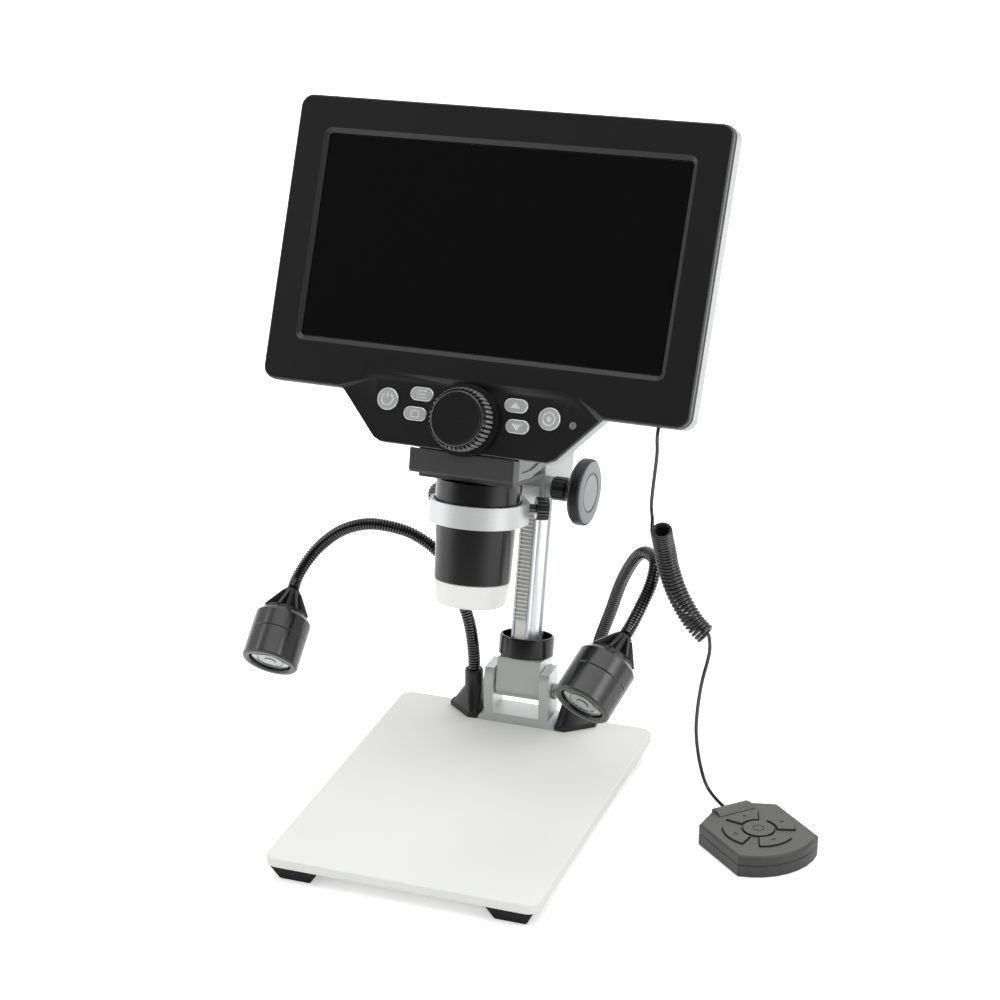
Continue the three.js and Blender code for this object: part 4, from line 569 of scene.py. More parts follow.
def makeFeet():
    reachX = (plate["width"] - foot["top"]) / 2 - foot["insets"][0]
    reachY = (plate["depth"] - foot["top"]) / 2 - foot["insets"][1]
    outline = roundedOutline(foot["top"], foot["top"], foot["corner"], 3)
    for name, sideX, sideY in (("foot_front_left", -1, -1), ("foot_front_right", 1, -1),
                               ("foot_back_left", -1, 1), ("foot_back_right", 1, 1)):
        top = -plate["thick"]
        piece = drawOutline(name + "_rubber", outline, top, top - foot["height"],
                            foot["bottom"] / foot["top"])
        soften(piece, foot["edge"])
        settle(piece, shifted(sideX * reachX, sideY * reachY, 0), "base", [name], mouldedRubber)


# clevis, tilt block and pin
hinge = {"edge": 0.45, "pinY": 69.9, "pinHeight": 15.5, "pinRadius": 2.2, "headRadius": 3.4,
         "headThick": 1.4, "reach": 14.7, "socket": 1.5, "socketDepth": 0.9}


def makeHinge():
    bracket = soften(copyPart("clevis_bracket", tablePlace), hinge["edge"])
    settle(bracket, tablePlace, "base", ["clevis_bracket"], frontShadedAluminium["bracket"])
    block = soften(copyPart("tilt_block", leaningPlace), hinge["edge"])
    settle(block, leaningPlace, "tilt", ["tilt_block"], frontShadedAluminium["block"])
    end = hinge["reach"] + hinge["headThick"]
    pin = drawTurned("hinge_pin", [
        (0, -end), (hinge["headRadius"], -end), (hinge["headRadius"], -hinge["reach"]),
        (hinge["pinRadius"], -hinge["reach"]), (hinge["pinRadius"], hinge["reach"]),
        (hinge["headRadius"], hinge["reach"]), (hinge["headRadius"], end), (0, end)], 48)
    soften(pin, 0.3)
    sockets = []
    for side in (-1, 1):
        points = arcPoints(hinge["socket"], 0, fullTurn * 5 / 6, 5)
        sockets.append(drawOutline("socket", points, side * (end - hinge["socketDepth"]), side * (end + 1)))
    cutAway(pin, *sockets)
    place = shifted(0, hinge["pinY"], hinge["pinHeight"]) @ turned("Y", 90)
    settle(pin, place, "base", ["tilt_pin"], groundSteel)


# collar nut: a black ring with bevelled rims
collar = {"radius": 11.75, "bore": 10.6, "bottom": 28.2, "height": 9, "rim": 0.8}


def makeCollar():
    bottom, top, rim = collar["bottom"], collar["bottom"] + collar["height"], collar["rim"]
    ring = drawTurned("collar_ring", [
        (collar["bore"], bottom), (collar["radius"] - rim, bottom), (collar["radius"], bottom + rim),
        (collar["radius"], top - rim), (collar["radius"] - rim / 2, top), (collar["bore"], top),
        (collar["bore"], bottom)])
    soften(ring, 0.25)
    settle(ring, leaningPlace, "collar", ["collar_nut"], smoothAbs)


# column, rack and carriage
slide = {"columnEdge": 0.15, "rackEdge": 0.07, "carriageEdge": 0.5}


def makeSlide():
    column = soften(copyPart("column", columnPlace), slide["columnEdge"])
    settle(column, columnPlace, "mast", ["column"], columnAluminium)
    rack = soften(copyPart("rack", columnPlace), slide["rackEdge"], 1)
    settle(rack, columnPlace, "mast", ["rack"], acetal)
    carriage = soften(copyPart("carriage", columnPlace), slide["carriageEdge"], 3)
    settle(carriage, columnPlace, "slider", ["carriage"], silverPaint)
    pinion = soften(copyPart("pinion_shaft", pinionPlace), 0.05, 1, 50)
    settle(pinion, pinionPlace, "pinion", ["pinion_shaft"], groundSteel)


# height knob: a ribbed hub, a waist and a flat disc with a pale face
heightKnob = {
    "shaft": 2.3, "hub": 5, "hubLength": 5.5, "hubFlats": 8, "neck": 3.6, "neckLength": 2.1,
    "flare": 7, "flareLength": 2.6, "radius": 14, "thick": 5.4, "round": 1.3,
    "cap": 13.1, "capThick": 1.2, "capRise": 0.3, "dot": 7.5, "groove": 0.9, "grooveDepth": 0.35,
    "rimNotches": 40, "notchDepth": 0.25,
}


def makeHeightKnob():
    k = heightKnob
    hubEnd = k["hubLength"]
    neckEnd = hubEnd + k["neckLength"]
    flareEnd = neckEnd + k["flareLength"]
    face = flareEnd + k["thick"]
    seat = face - k["capThick"] + k["capRise"] - 0.3
    body = drawTurned("height_knob_body", [
        (0, hubEnd - 0.3), (k["shaft"], hubEnd - 0.3), (k["shaft"], 0), (k["hub"] * 0.9, 0),
        (k["hub"] * 0.9, hubEnd), (k["neck"], hubEnd + 0.3), (k["neck"], neckEnd),
        (k["flare"], flareEnd), (k["radius"] - k["round"], flareEnd),
        (k["radius"], flareEnd + k["round"]), (k["radius"], face - k["round"] / 2),
        (k["cap"] + 0.25, face), (k["cap"] + 0.25, seat), (0, seat)])
    soften(body, 0.3)
    ribs = ridgedOutline(k["hub"], k["hub"] * 0.08, k["hubFlats"], (0, 0.62, 0.68, 0.94))
    sleeve = drawOutline("hub_ribs", ribs, 0.2, hubEnd - 0.2)
    bore = drawTurned("hub_bore", [(0, -1), (k["hub"] * 0.7, -1), (k["hub"] * 0.7, hubEnd + 1), (0, hubEnd + 1)])
    cutAway(sleeve, bore)
    weldOn(body, sleeve)
    settle(body, knobPlace, "pinion", ["height_knob"], satinAbs)
    top = face + k["capRise"]
    low = top - k["grooveDepth"]
    cap = drawTurned("height_knob_face", [
        (0, top - k["capThick"]), (k["cap"], top - k["capThick"]), (k["cap"], low),
        (k["cap"] - k["groove"], top), (k["dot"] + k["groove"], top), (k["dot"] + k["groove"] / 2, low),
        (k["dot"], top), (k["dot"] * 0.5, top + 0.02), (0, top + 0.03)])
    soften(cap, 0.08, 1)
    settle(cap, knobPlace, "pinion", ["height_knob_cap"], knobFaceAluminium)


def ridgedOutline(radius, depth, ridges, shares=(0, 0.5, 0.62, 0.88)):
    points = []
    for i in range(ridges):
        for corner, share in enumerate(shares):
            angle = (i + share) / ridges * fullTurn
            reach = radius if corner < 2 else radius - depth
            points.append((reach * math.cos(angle), reach * math.sin(angle)))
    return points


# spun aluminium face of the height knob: a pale disc inside a darker ring, with painted shade in the groove between
# them
knobFaceAluminium = brushed("spun aluminium", ("#707272", "#7C7E7E"), (0.3, 0.42),
                            {"width": 0.15, "length": 60, "axes": "XY", "strength": 0.15, "depth": 0.02},
                            knobPlace, {"Metallic": 0.85})
knobFacePlace = knobPlace @ shifted(0, 0, sum(heightKnob[part] for part in (
    "hubLength", "neckLength", "flareLength", "thick", "capRise")))
fromCentre = addNode(knobFaceAluminium.node_tree, "ShaderNodeVectorMath", {"operation": "LENGTH"}, {
    0: partCoordinates(knobFaceAluminium, knobFacePlace)}).outputs["Value"]
# painted shade: a dark band over the groove round the disc
tintWhere(knobFaceAluminium, fromCentre, 0.0077, 0.008, "#3E3F3F")
tintWhere(knobFaceAluminium, fromCentre, 0.0083, 0.0086, "#66686A")

# clamp: a ring on a block with slanted corners, and a bar back to the carriage
clamp = {
    "bore": 17.75, "radius": 19.3, "bottom": 96.7, "height": 9.1, "blockDepth": 20.4, "blockFlat": 20.6,
    "armWidth": 16, "armHeight": 8.2, "armEnd": 47.3, "edge": 0.4, "screwWay": 2, "screwRise": 6.4,
}


def makeClamp():
    c = clamp
    turn = math.radians(places["thumbTurn"])
    top = c["bottom"] + c["height"]
    slantY = (c["blockFlat"] - c["radius"] * math.cos(turn)) / math.sin(turn)
    slantX = (c["blockFlat"] - c["blockDepth"] * math.sin(turn)) / math.cos(turn)
    outline = [(c["radius"], slantY), (slantX, c["blockDepth"]), (-slantX, c["blockDepth"]),
               (-c["radius"], slantY), *arcPoints(c["radius"], math.pi, fullTurn, 48)]
    ring = drawOutline("clamp_ring", outline, c["bottom"], top)
    middle = c["bottom"] + c["height"] / 2
    half = c["armWidth"] / 2
    bar = drawOutline("clamp_bar", [(half, c["blockDepth"] - 2), (half, c["armEnd"]),
                                    (-half, c["armEnd"]), (-half, c["blockDepth"] - 2)],
                      middle - c["armHeight"] / 2, middle + c["armHeight"] / 2)
    weldOn(ring, bar)
    bore = drawTurned("bore", [(0, c["bottom"] - 2), (c["bore"], c["bottom"] - 2), (c["bore"], top + 2), (0, top + 2)])
    ways = []
    for angle in (places["thumbTurn"], 180 - places["thumbTurn"]):
        way = drawTurned("way", [(0, 14), (c["screwWay"], 14), (c["screwWay"], 25), (0, 25)], 32)
        movePiece(way, shifted(0, 0, c["bottom"] + c["screwRise"]) @ turned("Z", angle) @ turned("Y", 90))
        ways.append(way)
    cutAway(ring, bore, *ways)
    soften(ring, c["edge"])
    settle(ring, barrelPlace, "slider", ["clamp_arm"], ringAluminium)


# thumb screws: knurled black heads
thumb = {"shaft": 1.7, "tip": 17.65, "head": 23.7, "length": 4.9, "radius": 4.7, "ridges": 20, "depth": 0.55}


def makeThumbScrews():
    for side, place in thumbPlaces.items():
        head = drawOutline("thumb_head", ridgedOutline(thumb["radius"], thumb["depth"], thumb["ridges"]),
                           thumb["head"], thumb["head"] + thumb["length"])
        soften(head, 0.12, 1, 60)
        shaft = drawTurned("thumb_shaft", [
            (0, thumb["tip"]), (thumb["shaft"] * 0.7, thumb["tip"]), (thumb["shaft"], thumb["tip"] + 0.6),
            (thumb["shaft"], thumb["head"] + 0.5), (0, thumb["head"] + 0.5)], 32)
        weldOn(head, shaft)
        dimple = drawTurned("dimple", [(0, thumb["head"] + thumb["length"] - 0.5),
                                       (2.6, thumb["head"] + thumb["length"] - 0.5),
                                       (2.9, thumb["head"] + thumb["length"] + 1), (0, thumb["head"] + thumb["length"] + 1)], 48)
        cutAway(head, dimple)
        settle(head, place, "screw_" + side, ["thumb_screw_" + side], polishedAbs)


# lens barrel in two parts, with the milky cap under it
barrel = {
    "upper": [(0, 97), (13.9, 97), (16.1, 97), (17.3, 97.6), (17.3, 114.5), (0, 114.5)],
    "lower": [(13.3, 73.3), (15.5, 73.3), (16.1, 96.7), (13.3, 96.7), (13.3, 73.3)],
    "cap": [(8.2, 62.9), (12.6, 62.9), (13.8, 63.43), (14.2, 64.5), (15.3, 73), (13, 73), (13, 75.7),
            (11.7, 75.7), (11.7, 71.7), (11.6, 64.5), (8.2, 64.2), (8.2, 62.9)],
}


def makeBarrel():
    upper = soften(drawTurned("barrel_collar", barrel["upper"]), 0.3)
    settle(upper, barrelPlace, "head", ["barrel_upper"], smoothAbs)
    lower = soften(drawTurned("barrel_sleeve", barrel["lower"]), 0.25)
    settle(lower, barrelPlace, "head", ["barrel_lower"], smoothAbs)
    cap = soften(drawTurned("diffuser", barrel["cap"]), 0.3, 3)
    settle(cap, barrelPlace, "head", ["diffuser_cap"], frostedPolycarbonate)
    for node, material in (("led_ring", frostedPolycarbonate), ("objective_lens", lensGlass)):
        nodes[node].data.materials.clear()
        nodes[node].data.materials.append(material)


# clear acrylic: lenses of the lamps and the objective
lensGlass, lensTree, lensShader, lensPlace = startMaterial("clear acrylic", {
    "Base Color": linearColour("#F4F7F7"), "Roughness": 0.04, "IOR": 1.49, "Transmission Weight": 1.0})

# camera box under the screen, and the silver housing behind it
headBlock = {"boxEdge": 0.7, "housingEdge": 0.4}


def makeHeadBlock():
    box = soften(copyPart("camera_box", columnPlace), headBlock["boxEdge"], 3)
    settle(box, columnPlace, "head", ["camera_box"], mattAbs)
    housing = soften(copyPart("head_housing", columnPlace), headBlock["housingEdge"])
    settle(housing, columnPlace, "head", ["head_housing"], shadedHousingPaint)


# screen head: bezel, glass, rear shell
screen = {"bezelEdge": 0.22, "shellEdge": 0.5}


def makeScreen():
    bezel = soften(copyPart("front_bezel", facePlace), screen["bezelEdge"])
    settle(bezel, facePlace, "head", ["front_bezel"], bezelAbs)
    glass = soften(copyPart("screen_glass", facePlace), 0.15)
    settle(glass, facePlace, "head", ["screen_glass"], coverGlass)
    shell = soften(copyPart("rear_shell", facePlace), screen["shellEdge"])
    settle(shell, facePlace, "head", ["rear_shell"], silverPaint)
    for node, material in (("lcd_module", tinnedSteel), ("main_board", solderMask), ("key_board", solderMask),
                           ("indicator_led", smokedAcrylic)):
        nodes[node].data.materials.clear()
        nodes[node].data.materials.append(material)


# focus knob: knurled side, raised rim round a sunk face
focus = {"row": 64.6, "radius": 12.5, "depth": 0.8, "ridges": 40, "start": 1, "front": 8.4, "rim": 0.8,
         "rimDepth": 0.5, "crown": 1.9, "crownScale": 0.9, "face": 10.95, "shaft": 2.4, "shaftEnd": -6}
# fluted ABS: painted grey highlight on the ridge tops, and the valleys between them stay black
focusPlace = facePlace @ shifted(0, -focus["row"], 0)
flutedAbs = grained("fluted black ABS", ("#0C0C0C", "#101010"), (0.14, 0.2),
                    {"drift": 25, "size": 5, "strength": 0.02, "depth": 0.01}, {"Specular IOR Level": 1.0})
acrossFocus = addNode(flutedAbs.node_tree, "ShaderNodeVectorMath", {"operation": "MULTIPLY"}, {
    0: partCoordinates(flutedAbs, focusPlace), 1: (1, 1, 0)}).outputs["Vector"]
# painted highlight: the outer part of each ridge turns grey
tintWhere(flutedAbs, addNode(flutedAbs.node_tree, "ShaderNodeVectorMath", {"operation": "LENGTH"}, {
    0: acrossFocus}).outputs["Value"], 0.0118, 0.0122, "#868686")


def makeFocusKnob():
    # the ridges slant in towards the face over the last stretch, which catches the lamps
    f = focus
    ridges = ridgedOutline(f["radius"], f["depth"], f["ridges"])
    crownEnd = f["front"] - f["rimDepth"]
    side = drawOutline("focus_side", ridges, f["start"], crownEnd - f["crown"])
    crown = drawOutline("focus_crown", ridges, crownEnd - f["crown"], crownEnd, f["crownScale"])
    face = drawTurned("focus_face", [
        (0, f["start"] + 0.3), (f["face"], f["start"] + 0.3), (f["face"], f["front"] - f["rimDepth"] / 2),
        (f["face"] - f["rim"] / 2, f["front"]), (f["face"] - f["rim"], f["front"]),
        (f["face"] - 2 * f["rim"], f["front"] - f["rimDepth"] / 2), (0, f["front"] - f["rimDepth"] / 2)])
    soften(face, 0.12)
    shaft = drawTurned("focus_shaft", [(0, f["shaftEnd"]), (f["shaft"], f["shaftEnd"]),
                                       (f["shaft"], f["start"] + 0.6), (0, f["start"] + 0.6)], 32)
    weldOn(side, crown, face, shaft)
    settle(side, focusPlace, "focus", ["focus_knob"], flutedAbs)


# keys on the panel: plated caps with a sunk mark each
keys = {
    "power": (-34.5, -59.9), "menu": (-20.1, -56.4), "mode": (-21.8, -64.4),
    "up": (20.1, -56.4), "down": (21.8, -64.4), "ok": (34.5, -59.9),
    "edge": 0.4, "top": -1, "markDepth": 0.45,
}


def ringSector(name, inner, outer, start, end, low, high, steps=36):
    points = arcPoints(outer, start, end, steps) + arcPoints(inner, end, start, steps)
    return drawOutline(name, points, low, high)


def barMark(name, x, y, width, height, low, high, turn=0):
    piece = drawOutline(name, roundedOutline(width, height, min(width, height) * 0.3, 2), low, high)
    return movePiece(piece, shifted(x, y, 0) @ turned("Z", turn))


def keyMarks(name, low, high):
    if name == "power":
        return [ringSector("arc", 2.0, 2.7, math.radians(125), math.radians(415), low, high),
                barMark("bar", 0, 1.7, 0.7, 2.8, low, high)]
    if name == "ok":
        return [ringSector("ring", 2.1, 2.8, 0, fullTurn * 0.497, low, high),
                ringSector("ring", 2.1, 2.8, fullTurn * 0.5, fullTurn * 0.997, low, high),
                drawTurned("dot", [(0, low), (1, low), (1, high), (0, high)], 24)]
    if name == "menu":
        return [barMark("bar", 0, y, 4.2, 0.6, low, high) for y in (-1.35, 0, 1.35)]
    if name == "mode":
        return [barMark("bar", x, y, *size, low, high) for x, y, size in (
            (0, 1.3, (3.8, 0.6)), (0, -1.3, (3.8, 0.6)), (1.6, 0, (0.6, 2.8)), (-1.6, 0, (0.6, 2.8)))]
    tip = 1.5 if name == "up" else -1.5
    return [drawOutline("arrow", sortedTurn([(0, tip), (-2.2, -tip * 0.7), (2.2, -tip * 0.7)]), low, high)]


def sortedTurn(points):
    return sorted(points, key=lambda point: math.atan2(point[1], point[0]))


def makeKeys():
    for name in ("power", "menu", "mode", "up", "down", "ok"):
        node = "button_" + name
        x, y = keys[name]
        place = facePlace @ shifted(x, y, 0)
        key = soften(copyPart(node, place), keys["edge"], 3)
        cutAway(key, *keyMarks(name, keys["top"] - keys["markDepth"], keys["top"] + 1))
        settle(key, place, "key_" + name, [node], satinChrome)


# lamps: a moulded base, a ribbed neck, a finned cone, a turned head and a clear lens
lamp = {
    "baseX": 22.3, "baseY": 73.2, "sleeveTop": 19, "sleeveDepth": 5, "gap": 0.3,
    "neckOuter": 2.5, "ribRadius": 2.66, "ribCore": 2.1, "ribPitch": 1.25, "tipSlope": 2.6,
    "coneLength": 10.8, "coneBottom": 10.6, "coneTop": 4.3, "fins": 8, "finThick": 1.3,
    "hubTop": 3.5, "hubBottom": 4.6, "collarRadius": 9.8, "collarThick": 1.1,
    "radius": 12.3, "length": 22.8, "shoulder": 1.8, "shoulderRun": 1.5, "groove": 0.22, "grooveWidth": 0.4,
    "grooveAt": 9.4, "mouth": 9.2, "mouthDepth": 3.2, "mouthBevel": 0.7, "lens": 8.8, "lensThick": 2,
    "left": {"at": (-98.7, 54, 52.7), "aim": (-0.014, -0.755, -0.655), "side": -1,
             "route": [(-24.2, 73.2, 39.3), (-27.7, 73, 50.7), (-34.3, 72.4, 67.4), (-40.2, 72, 73.8),
                       (-49.6, 71.4, 79.3), (-58.9, 70.8, 81.5), (-69.6, 70, 81.7), (-80.9, 68.8, 77.7),
                       (-90.6, 66.4, 69.8), (-95.8, 62.6, 62.7)]},
    "right": {"at": (57.7, 27.3, 66.8), "aim": (-0.257, -0.794, -0.551), "side": 1,
              "route": [(31.9, 73.2, 33.9), (34.2, 72.8, 42.4), (39.1, 70.4, 56.5), (45.5, 65.4, 74.5),
                        (53, 59.4, 88.1), (57.1, 56.4, 91.6), (61, 53, 92), (63.3, 50, 90.8),
                        (63.5, 44.4, 84.1), (61.3, 38, 76.2)]},
}


def makeNeck(name, points):
    # one rib, repeated along a curve and bent to it
    length = pathLength(points)
    count = round(length / lamp["ribPitch"])
    pitch = length / count
    clearSelection()
    bpy.ops.mesh.primitive_cylinder_add(vertices=18, radius=lamp["ribCore"], depth=pitch,
                                        end_fill_type="NOTHING", location=(0, 0, pitch / 2))
    rib = bpy.context.object
    rib.name = "neck_" + name
    bpy.ops.object.transform_apply(location=True, rotation=True, scale=True)
    openMesh(rib, "EDGE")
    bpy.ops.mesh.select_all(action="DESELECT")
    closeMesh()
    for edge in rib.data.edges:
        ends = [rib.data.vertices[i].co.z for i in edge.vertices]
        edge.select = abs(ends[0] - ends[1]) > pitch / 2
    pick(rib)
    bpy.ops.object.mode_set(mode="EDIT")
    bpy.ops.mesh.subdivide(number_cuts=3)
    closeMesh()
    for vertex in rib.data.vertices:
        onRib = pitch * 0.1 < vertex.co.z < pitch * 0.9
        reach = lamp["ribRadius"] / lamp["ribCore"] if onRib else 1
        vertex.co.x *= reach
        vertex.co.y *= reach
    useModifier(rib, "ARRAY", count=count, use_relative_offset=False, use_constant_offset=True,
                constant_offset_displace=(0, 0, pitch), use_merge_vertices=True, merge_threshold=0.001)
    for vertex in rib.data.vertices:
        # the tip is rounded over, so that the lamp can tilt on it
        room = lamp["tipSlope"] * (length - vertex.co.z + lamp["gap"])
        reach = min(1, room / math.hypot(vertex.co.x, vertex.co.y))
        vertex.co.x *= reach
        vertex.co.y *= reach
    data = bpy.data.curves.new("neck path", "CURVE")
    data.dimensions = "3D"
    spline = data.splines.new("POLY")
    spline.points.add(len(points) - 1)
    for place, point in zip(spline.points, points):
        place.co = (*point, 1)
    path = bpy.data.objects.new("neck path", data)
    bpy.context.scene.collection.objects.link(path)
    useModifier(rib, "CURVE", object=path, deform_axis="POS_Z")
    bpy.data.objects.remove(path)
    openMesh(rib, "EDGE")
    bpy.ops.mesh.select_all(action="DESELECT")
    bpy.ops.mesh.select_non_manifold()
    bpy.ops.mesh.edge_face_add()
    bpy.ops.mesh.select_all(action="SELECT")
    bpy.ops.mesh.normals_make_consistent(inside=False)
    closeMesh()
    settle(rib, tablePlace, "neck_" + name, ["gooseneck_" + name], neckLacquer, 40)


def makeLampHead(name, place):
    m = lamp
    hub = drawTurned("cone_hub", [(0, -m["coneLength"]), (m["hubBottom"], -m["coneLength"]),
                                  (m["hubTop"], 0), (0, 0)], 48)
    rim = drawTurned("cone_rim", [
        (0, -m["coneLength"] - m["collarThick"]), (m["collarRadius"], -m["coneLength"] - m["collarThick"]),
        (m["collarRadius"], -m["coneLength"] + 0.3), (0, -m["coneLength"] + 0.3)], 72)
    weldOn(hub, rim)
    for i in range(m["fins"] // 2):
        half = m["finThick"] / 2
        fin = drawOutline("fin", [
            (m["coneBottom"], -m["coneLength"]), (m["coneTop"], -m["coneTop"] / 4),
            (-m["coneTop"], -m["coneTop"] / 4), (-m["coneBottom"], -m["coneLength"])], -half, half)
        movePiece(fin, turned("Z", 360 / m["fins"] * i) @ turned("X", 90))
        weldOn(hub, fin)
    soften(hub, 0.22)
    settle(hub, place, "lamp_" + name, ["lamp_fins_" + name], satinAbs)
    top = -m["coneLength"] - m["collarThick"] - m["gap"]
    bottom = top - m["length"]
    floor = bottom + m["mouthDepth"]
    at = top - m["grooveAt"]
    grooves = [(m["radius"], at - m["grooveWidth"]),
               (m["radius"] - m["groove"], at - m["grooveWidth"] / 2), (m["radius"], at)]
    head = drawTurned("lamp_can_" + name, [
        (0, floor), (m["mouth"], floor), (m["mouth"], bottom + m["mouthBevel"]),
        (m["mouth"] + m["mouthBevel"], bottom), (m["radius"] - m["mouthBevel"], bottom),
        (m["radius"], bottom + m["mouthBevel"]), *grooves, (m["radius"], top - m["shoulder"]),
        (m["radius"] - m["shoulderRun"], top), (0, top)])
    soften(head, 0.15)
    settle(head, place, "lamp_" + name, ["lamp_head_" + name], lampAnodised[name])
    back = floor - m["gap"]
    lens = drawTurned("lamp_glass_" + name, [
        (0, back - m["lensThick"]), (2.2, back - m["lensThick"] + 0.05), (2.6, back - m["lensThick"] + 0.45),
        (5.4, back - m["lensThick"] + 0.5), (5.8, back - m["lensThick"] + 0.2), (m["lens"] - 0.5, back - m["lensThick"] + 0.5),
        (m["lens"], back - m["lensThick"] + 0.9), (m["lens"], back), (0, back)], 72)
    settle(lens, place, "lamp_" + name, ["lamp_lens_" + name], lensGlass)


# anodised aluminium: near black, satin, turning rings round each lamp's axis,
# and a bright reflector on the floor of the can, behind the lens
lampAnodised = {}
lampPlaces = {}
for lampName in ("left", "right"):
    lampAim = Vector(lamp[lampName]["aim"]).normalized()
    lampTurn = Vector((0, 0, -1)).rotation_difference(lampAim).to_matrix().to_4x4()
    lampPlaces[lampName] = shifted(*lamp[lampName]["at"]) @ lampTurn
    anodised = brushed("black anodised aluminium " + lampName, ("#0F1011", "#151617"), (0.2, 0.27),
                       {"width": 0.2, "length": 50, "axes": "XY", "strength": 0.03, "depth": 0.02},
                       lampPlaces[lampName], {"Specular IOR Level": 0.65})
    crossSection = addNode(anodised.node_tree, "ShaderNodeVectorMath", {"operation": "MULTIPLY"}, {
        0: partCoordinates(anodised, lampPlaces[lampName]), 1: (1, 1, 0)}).outputs["Vector"]
    fromAxis = addNode(anodised.node_tree, "ShaderNodeVectorMath", {"operation": "LENGTH"}, {
        0: crossSection}).outputs["Value"]
    tintWhere(anodised, fromAxis, 0.0091, 0.0089, "#969898")
    lampAnodised[lampName] = anodised


def makeLamps():
    for name in ("left", "right"):
        one = lamp[name]
        base = soften(copyPart("lamp_base_" + name, tablePlace), 0.3)
        settle(base, tablePlace, "base", ["lamp_base_" + name], satinAbs)
        aim = Vector(one["aim"]).normalized()
        start = Vector((one["side"] * lamp["baseX"], lamp["baseY"], lamp["sleeveTop"] - lamp["sleeveDepth"] + lamp["gap"]))
        end = Vector(one["at"]) - aim * lamp["gap"]
        reach = lamp["sleeveDepth"] + 2 * lamp["neckOuter"]
        points = [start, start + Vector((0, 0, reach)), *(Vector(p) for p in one["route"]),
                  end - aim * 2 * lamp["neckOuter"], end]
        makeNeck(name, smoothPath(points, 160))
        makeLampHead(name, lampPlaces[name])


# remote: lower and upper shells and five keys with sunk marks
remote = {"edge": 0.45, "keyEdge": 0.25, "top": 10.3, "markDepth": 0.25, "ring": 10.9}


def makeRemote():
    base = soften(copyPart("remote_base", remotePlace), remote["edge"], 3)
    settle(base, remotePlace, "remote", ["remote_base"], remoteAbs)
    top = soften(copyPart("remote_top", remotePlace), remote["edge"], 3)
    settle(top, remotePlace, "remote", ["remote_top"], remoteAbs)
    low, high = remote["top"] - remote["markDepth"], remote["top"] + 1
    marks = {
        "ok": [ringSector("ring", 1.9, 2.3, 0, fullTurn * 0.497, low, high),
               ringSector("ring", 1.9, 2.3, fullTurn * 0.5, fullTurn * 0.997, low, high)],
    }
    for name, angle in (("far", 0), ("left", 90), ("near", 180), ("right", 270)):
        arrow = drawOutline("arrow", [(1.1, 0), (-0.8, 1.3), (-0.8, -1.3)], low, high)
        marks[name] = [movePiece(arrow, turned("Z", angle) @ shifted(remote["ring"], 0, 0))]
    for name, cutters in marks.items():
        key = soften(copyPart("remote_" + name, remotePlace), remote["keyEdge"])
        cutAway(key, *cutters)
        settle(key, remotePlace, "pad_" + name, ["remote_" + name], remoteAbs)


makePlate()
makeFeet()
makeHinge()
makeCollar()
makeSlide()
print("stand made")
makeHeightKnob()
makeClamp()
makeThumbScrews()
makeBarrel()
makeHeadBlock()
print("optics made")
makeScreen()
makeFocusKnob()
makeKeys()
print("screen head made")
makeLamps()
print("lamps made")
makeRemote()
print("remote made")


# floor, sky and lamps: a white table that keeps a soft shadow
stage = {"size": 12, "floor": "#F2F2F2", "floorZ": -11, "glow": 0.42, "near": 0.2, "far": 0.7}


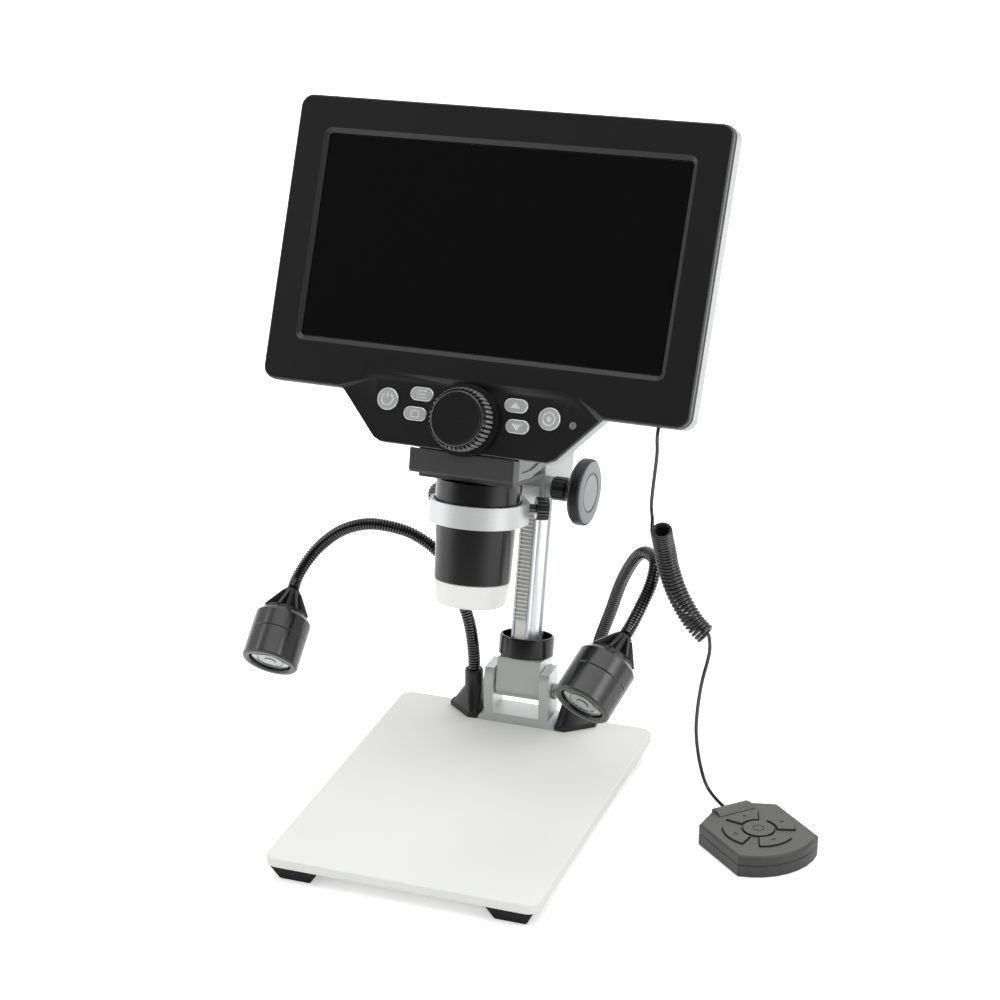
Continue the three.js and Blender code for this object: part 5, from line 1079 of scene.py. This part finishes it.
def makeStage():
    clearSelection()
    bpy.ops.mesh.primitive_plane_add(size=stage["size"], location=(0, 3, stage["floorZ"] * millimetre))
    floor = bpy.context.object
    floor.name = "table"
    bpy.ops.object.transform_apply(location=True)
    made, tree, shader, place = startMaterial("white table", {
        "Base Color": linearColour(stage["floor"]), "Roughness": 0.9, "Specular IOR Level": 0.1})
    rays = addNode(tree, "ShaderNodeLightPath", {}, {})
    direction = addNode(tree, "ShaderNodeVectorMath", {"operation": "NORMALIZE"}, {0: place})
    ahead = addNode(tree, "ShaderNodeVectorMath", {"operation": "DOT_PRODUCT"}, {
        0: direction.outputs["Vector"], 1: lights["front"]})
    dim = addNode(tree, "ShaderNodeMapRange", {"interpolation_type": "SMOOTHSTEP"}, {
        "Value": ahead.outputs["Value"], "From Min": 0.35, "From Max": 0.85,
        "To Min": 1.0, "To Max": lights["frontRoom"]})
    mirrored = addNode(tree, "ShaderNodeMath", {"operation": "MULTIPLY"}, {
        0: rays.outputs["Is Glossy Ray"], 1: dim.outputs["Result"]})
    seen = addNode(tree, "ShaderNodeMath", {"operation": "ADD", "use_clamp": True}, {
        0: rays.outputs["Is Camera Ray"], 1: mirrored.outputs[0]})
    shown = addNode(tree, "ShaderNodeMath", {"operation": "ADD", "use_clamp": True}, {
        0: seen.outputs[0], 1: rays.outputs["Is Transmission Ray"]})
    distance = addNode(tree, "ShaderNodeVectorMath", {"operation": "LENGTH"}, {0: place})
    level = addNode(tree, "ShaderNodeMapRange", {}, {
        "Value": distance.outputs["Value"], "From Min": stage["near"], "From Max": stage["far"],
        "To Min": stage["glow"], "To Max": 1.0})
    glow = addNode(tree, "ShaderNodeMath", {"operation": "MULTIPLY"}, {
        0: shown.outputs[0], 1: level.outputs["Result"]})
    shader.inputs["Emission Color"].default_value = (1, 1, 1, 1)
    tree.links.new(glow.outputs[0], shader.inputs["Emission Strength"])
    floor.data.materials.append(made)
    world = bpy.data.worlds.new("studio")
    bpy.context.scene.world = world
    world.use_nodes = True
    sky = world.node_tree
    ground = sky.nodes["Background"]
    ground.inputs["Color"].default_value = (1, 1, 1, 1)
    paths = addNode(sky, "ShaderNodeLightPath", {}, {})
    direct = addNode(sky, "ShaderNodeMath", {"operation": "ADD", "use_clamp": True}, {
        0: paths.outputs["Is Camera Ray"], 1: paths.outputs["Is Transmission Ray"]})
    heading = addNode(sky, "ShaderNodeTexCoord", {}, {})
    towards = addNode(sky, "ShaderNodeVectorMath", {"operation": "DOT_PRODUCT"}, {
        0: heading.outputs["Generated"], 1: lights["front"]})
    mirrored = addNode(sky, "ShaderNodeMapRange", {"interpolation_type": "SMOOTHSTEP"}, {
        "Value": towards.outputs["Value"], "From Min": 0.35, "From Max": 0.85,
        "To Min": 1.0, "To Max": lights["frontRoom"]})
    indirect = addNode(sky, "ShaderNodeMix", {}, {
        0: paths.outputs["Is Glossy Ray"], 2: lights["sky"], 3: mirrored.outputs["Result"]})
    strength = addNode(sky, "ShaderNodeMix", {}, {
        0: direct.outputs[0], 2: indirect.outputs[0], 3: 1.0})
    sky.links.new(strength.outputs[0], ground.inputs["Strength"])


# white walls with a dim room behind the camera, and soft boxes:
# place, aim, size in metres, power in watts and whether shiny parts mirror it
lights = {
    "sky": 0.62, "front": (0.0, -0.97, 0.24), "frontRoom": 0.12,
    "boxes": [
        ("top box", (0.1, -0.15, 1.5), (0, 0, 0.05), (1.5, 1.5), 9, True),
        ("front box", (-0.3, -1.5, 0.9), (0, 0, 0.05), (1.2, 0.8), 4, False),
        ("back box", (0.2, 1.2, 1.1), (0, 0.1, 0.0), (1.4, 0.7), 10, False),
        ("left strip", (-1.4, -0.4, 0.7), (0, 0, 0.1), (0.26, 1.3), 4.5, True),
        ("right strip", (1.3, -0.3, 0.7), (0, 0, 0.1), (0.24, 1.3), 4.5, True),
    ],
}


def makeLights():
    for name, place, target, size, power, isMirrored in lights["boxes"]:
        data = bpy.data.lights.new(name, "AREA")
        data.shape = "RECTANGLE"
        data.size, data.size_y = size
        data.energy = power
        box = bpy.data.objects.new(name, data)
        bpy.context.scene.collection.objects.link(box)
        box.location = place
        box.rotation_euler = (Vector(target) - Vector(place)).to_track_quat("-Z", "Y").to_euler()
        box.visible_glossy = isMirrored


makeStage()
makeLights()
bpy.context.scene.view_settings.view_transform = "Standard"
print("stage lit")
